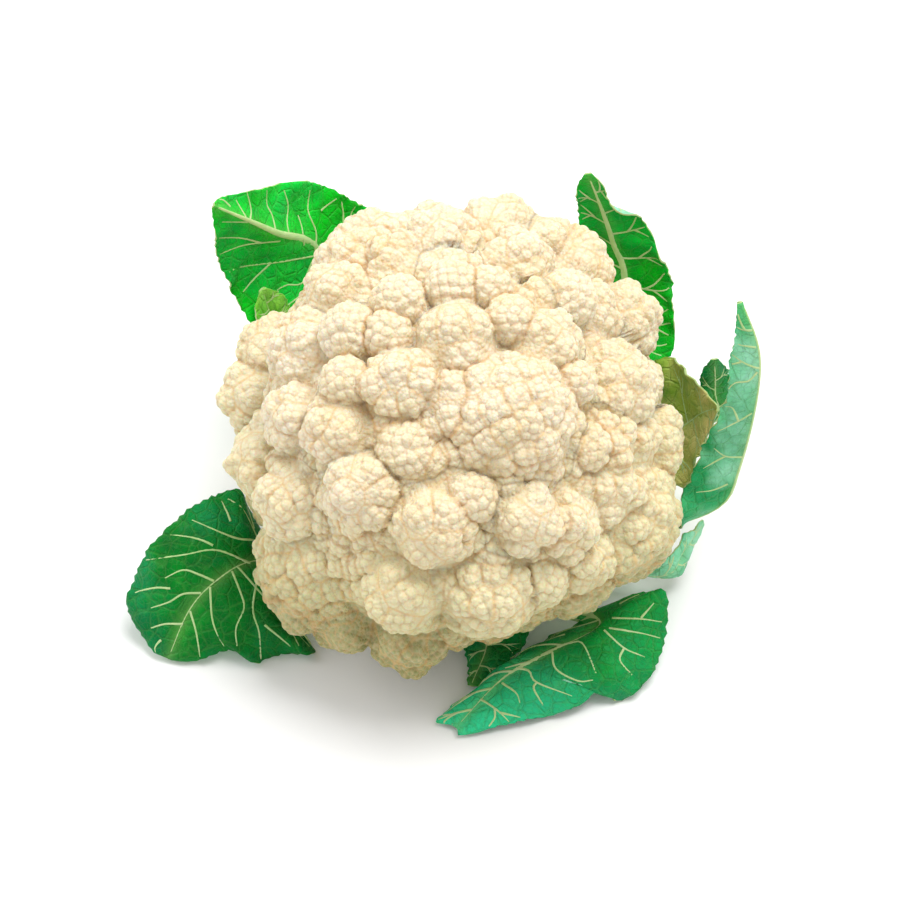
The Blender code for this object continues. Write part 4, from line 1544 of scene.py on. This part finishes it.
def leaf_looks(leaf):
    """A leaf's material above and below."""
    if leaf.name == "leaf_right_inner":
        return inner_look, inner_underside
    if leaf.name == "leaf_front_right":
        return blue_look, underside_look
    if leaf.young:
        return young_look, inner_underside
    return (painted_lit_look if leaf.name in PAINTED_LIT_LEAVES else dark_look), underside_look


rim_look = plain_material("leaf rim", RIM_YELLOW, 0.5)


def vein_material():
    look = Look("vein", 0.45)
    look.coloured(look.blended(look.patchy(40.0, 300.0), VEIN_GREEN, PALE_VEIN))
    look.fleshy(0.2, (0.002, 0.003, 0.001))
    return look.material


vein_look = vein_material()
print("looks of the leaves:", len({look.name for leaf in LEAVES for look in leaf_looks(leaf)}))

# %% Building the leaves
BLADE_THICK = 0.7
NEAR_RIB = 5.0  # the blade is paler up to this far from the midrib
FOLDED = ("leaf_right_upright", "leaf_right_low")  # their halves lie face to face, so they stay smooth
PUCKER_HEIGHT = 1.3
FOLDED_PUCKER = 0.15  # a folded leaf's puckers, as a share of the others'
PUCKER_REACH = 4.5
PUCKER_POWER = 6  # the higher, the nearer to the margin and the foot the puckers come
RIB_SAMPLES = 60  # points on the midrib that hold the puckers down
RIB_STEPS = 40
RIB_ROUNDS = 16
RIB_SHOWS = 0.15  # how far the midrib stands out of the upper face
RIB_TIP = 0.35
RIB_WIDE = 0.75  # half the midrib's width at its foot, as a share of the table's value
RIB_HIGH = 0.5
RIB_NARROWING = 1.1
LEAST_RIB_HEIGHT = 0.45
LEAST_RIB_SHOWS = 0.05
SLIMMEST = 0.7  # how much narrower a small or folded leaf's midrib is in the blade


def add_leaf_piece(leaf, mesh):
    return add_piece(mesh.name, mesh, "young_leaf_blade" if leaf.young else "leaf_blade", leaf.name)


def surface_normals(surface):
    """The way out of the upper face at each of its points."""
    along_rows = np.gradient(surface, axis=0)
    along_columns = np.gradient(surface, axis=1)
    normals = np.cross(along_columns, along_rows)
    return normals / np.maximum(np.linalg.norm(normals, axis=2), 1e-9)[:, :, None]


def puckered(leaf, surface, veins):
    """The blade raised between its veins."""
    places = [point for points in veins for point in points]
    places += [along(rib_points(leaf), step / RIB_SAMPLES) for step in range(RIB_SAMPLES + 1)]
    tree = KDTree(len(places))
    for index, point in enumerate(places):
        tree.insert(point, index)
    tree.balance()
    height = PUCKER_HEIGHT * (FOLDED_PUCKER if leaf.name in FOLDED else 1.0)
    normals = surface_normals(surface)
    raised = surface.copy()
    rows, columns = surface.shape[:2]
    for row in range(rows):
        blade = max(row / (rows - 1) - leaf.petiole, 0.0) / (1.0 - leaf.petiole)
        for column in range(columns):
            edge = 1.0 - abs(2.0 * column / (columns - 1) - 1.0) ** PUCKER_POWER
            away = tree.find(surface[row, column])[2]
            lift = height * (1.0 - math.exp(-((away / PUCKER_REACH) ** 2)))
            raised[row, column] += normals[row, column] * (lift * edge * min(blade * PUCKER_POWER, 1.0))
    return raised


def build_blade(leaf, surface):
    rows, columns = surface.shape[0] - 1, surface.shape[1] - 1
    bpy.ops.object.select_all(action="DESELECT")
    bpy.ops.mesh.primitive_grid_add(x_subdivisions=columns, y_subdivisions=rows, size=2.0)
    thing = bpy.context.object
    mesh = thing.data
    mesh.name = leaf.name + "_blade"
    flat = places_of(mesh)
    column = np.rint((flat[:, 0] + 1.0) * columns / 2).astype(int)
    row = np.rint((flat[:, 1] + 1.0) * rows / 2).astype(int)
    places = surface[row, column]
    mesh.vertices.foreach_set("co", (places * MM).ravel())
    middle = surface[row, columns // 2]
    away = np.linalg.norm(places - middle, axis=1)
    paint(mesh, "near_rib", np.clip(1.0 - away / NEAR_RIB, 0.0, 1.0) ** 2)
    paint(mesh, "tipwards", np.clip((row / rows - leaf.petiole) / (1.0 - leaf.petiole), 0.0, 1.0))
    upper, under = leaf_looks(leaf)
    for look in (upper, under, rim_look):
        mesh.materials.append(look)
    shell = thing.modifiers.new("shell", "SOLIDIFY")
    shell.thickness = BLADE_THICK * MM
    shell.offset = -1.0
    shell.material_offset = 1
    shell.material_offset_rim = 2
    bpy.ops.object.modifier_apply(modifier=shell.name)
    mesh = thing.data
    bpy.data.objects.remove(thing)
    mesh.shade_smooth()
    return add_leaf_piece(leaf, mesh)


def build_midrib(leaf, surface):
    points = rib_points(leaf)
    normals = surface_normals(surface)
    middle = surface.shape[1] // 2
    centres, across, up = [], [], []
    for step in range(RIB_STEPS + 1):
        share = step / RIB_STEPS
        row = round(share * (surface.shape[0] - 1))
        face = Vector(normals[row, middle])
        side = rib_ahead(leaf, share).cross(face).normalized()
        slim = 1.0
        if leaf.name in FOLDED or not leaf.large:
            slim -= SLIMMEST * min(share / leaf.petiole, 1.0)
        half_wide = slim * (RIB_WIDE * leaf.rib_width * (1.0 - share) ** RIB_NARROWING) + RIB_TIP
        half_high = max(RIB_HIGH * slim * leaf.rib_width * (1.0 - share), LEAST_RIB_HEIGHT)
        shows = RIB_SHOWS * (1.0 - share) + LEAST_RIB_SHOWS
        ends = 0.0 if step in (0, RIB_STEPS) else 1.0
        centres.append(along(points, share) + face * (shows - half_high))
        across.append(side * half_wide * ends)
        up.append(face * half_high * ends)
    mesh = tube(leaf.name + "_midrib", centres, across, up, rounds=RIB_ROUNDS)
    mesh.materials.append(vein_look)
    return add_leaf_piece(leaf, mesh)


def build_veins(leaf, veins, surface):
    """All side veins of a leaf as one bevelled curve, turned into a mesh."""
    tree = drape(surface)
    curve = bpy.data.curves.new(leaf.name + "_veins", "CURVE")
    curve.dimensions = "3D"
    curve.bevel_depth = MM
    curve.bevel_resolution = 1
    curve.use_fill_caps = True
    for points in veins:
        spline = curve.splines.new("POLY")
        spline.points.add(len(points) - 1)
        for step, (place, point) in enumerate(zip(spline.points, points)):
            point, face = tree.find_nearest(point)[:2]
            point = point - face * (BLADE_THICK / 2)
            place.co = (*(point * MM), 1.0)
            share = step / (len(points) - 1)
            place.radius = VEIN_HALF_WIDTH[0] + (VEIN_HALF_WIDTH[1] - VEIN_HALF_WIDTH[0]) * share
            place.radius *= 1.0 if leaf.large else SMALL_LEAF_VEIN
    thing = bpy.data.objects.new(curve.name, curve)
    bpy.context.scene.collection.objects.link(thing)
    pick_only(thing)
    bpy.ops.object.convert(target="MESH")
    mesh = bpy.context.object.data
    bpy.data.objects.remove(bpy.context.object)
    mesh.materials.clear()
    mesh.materials.append(vein_look)
    mesh.shade_smooth()
    return add_leaf_piece(leaf, mesh)


leaf_pieces = []
for leaf in LEAVES:
    smooth = surfaces[leaf.name]
    surface = puckered(leaf, smooth, veins_of[leaf.name])
    leaf_pieces.append(build_blade(leaf, surface))
    leaf_pieces.append(build_midrib(leaf, smooth))
    leaf_pieces.append(build_veins(leaf, veins_of[leaf.name], surface))
print("leaf faces:", sum(len(piece.data.polygons) for piece in leaf_pieces))

# %% The last step: sizes and table
def triangles(mesh):
    mesh.calc_loop_triangles()
    return len(mesh.loop_triangles)


counts = {
    piece.name: triangles(piece.data)
    for piece in [*curd_pieces, *branches, seat, stump, *stubs, *leaf_pieces]
}
largest = max(counts, key=counts.get)
print("triangles added:", sum(counts.values()), "most on one piece:", largest, counts[largest])
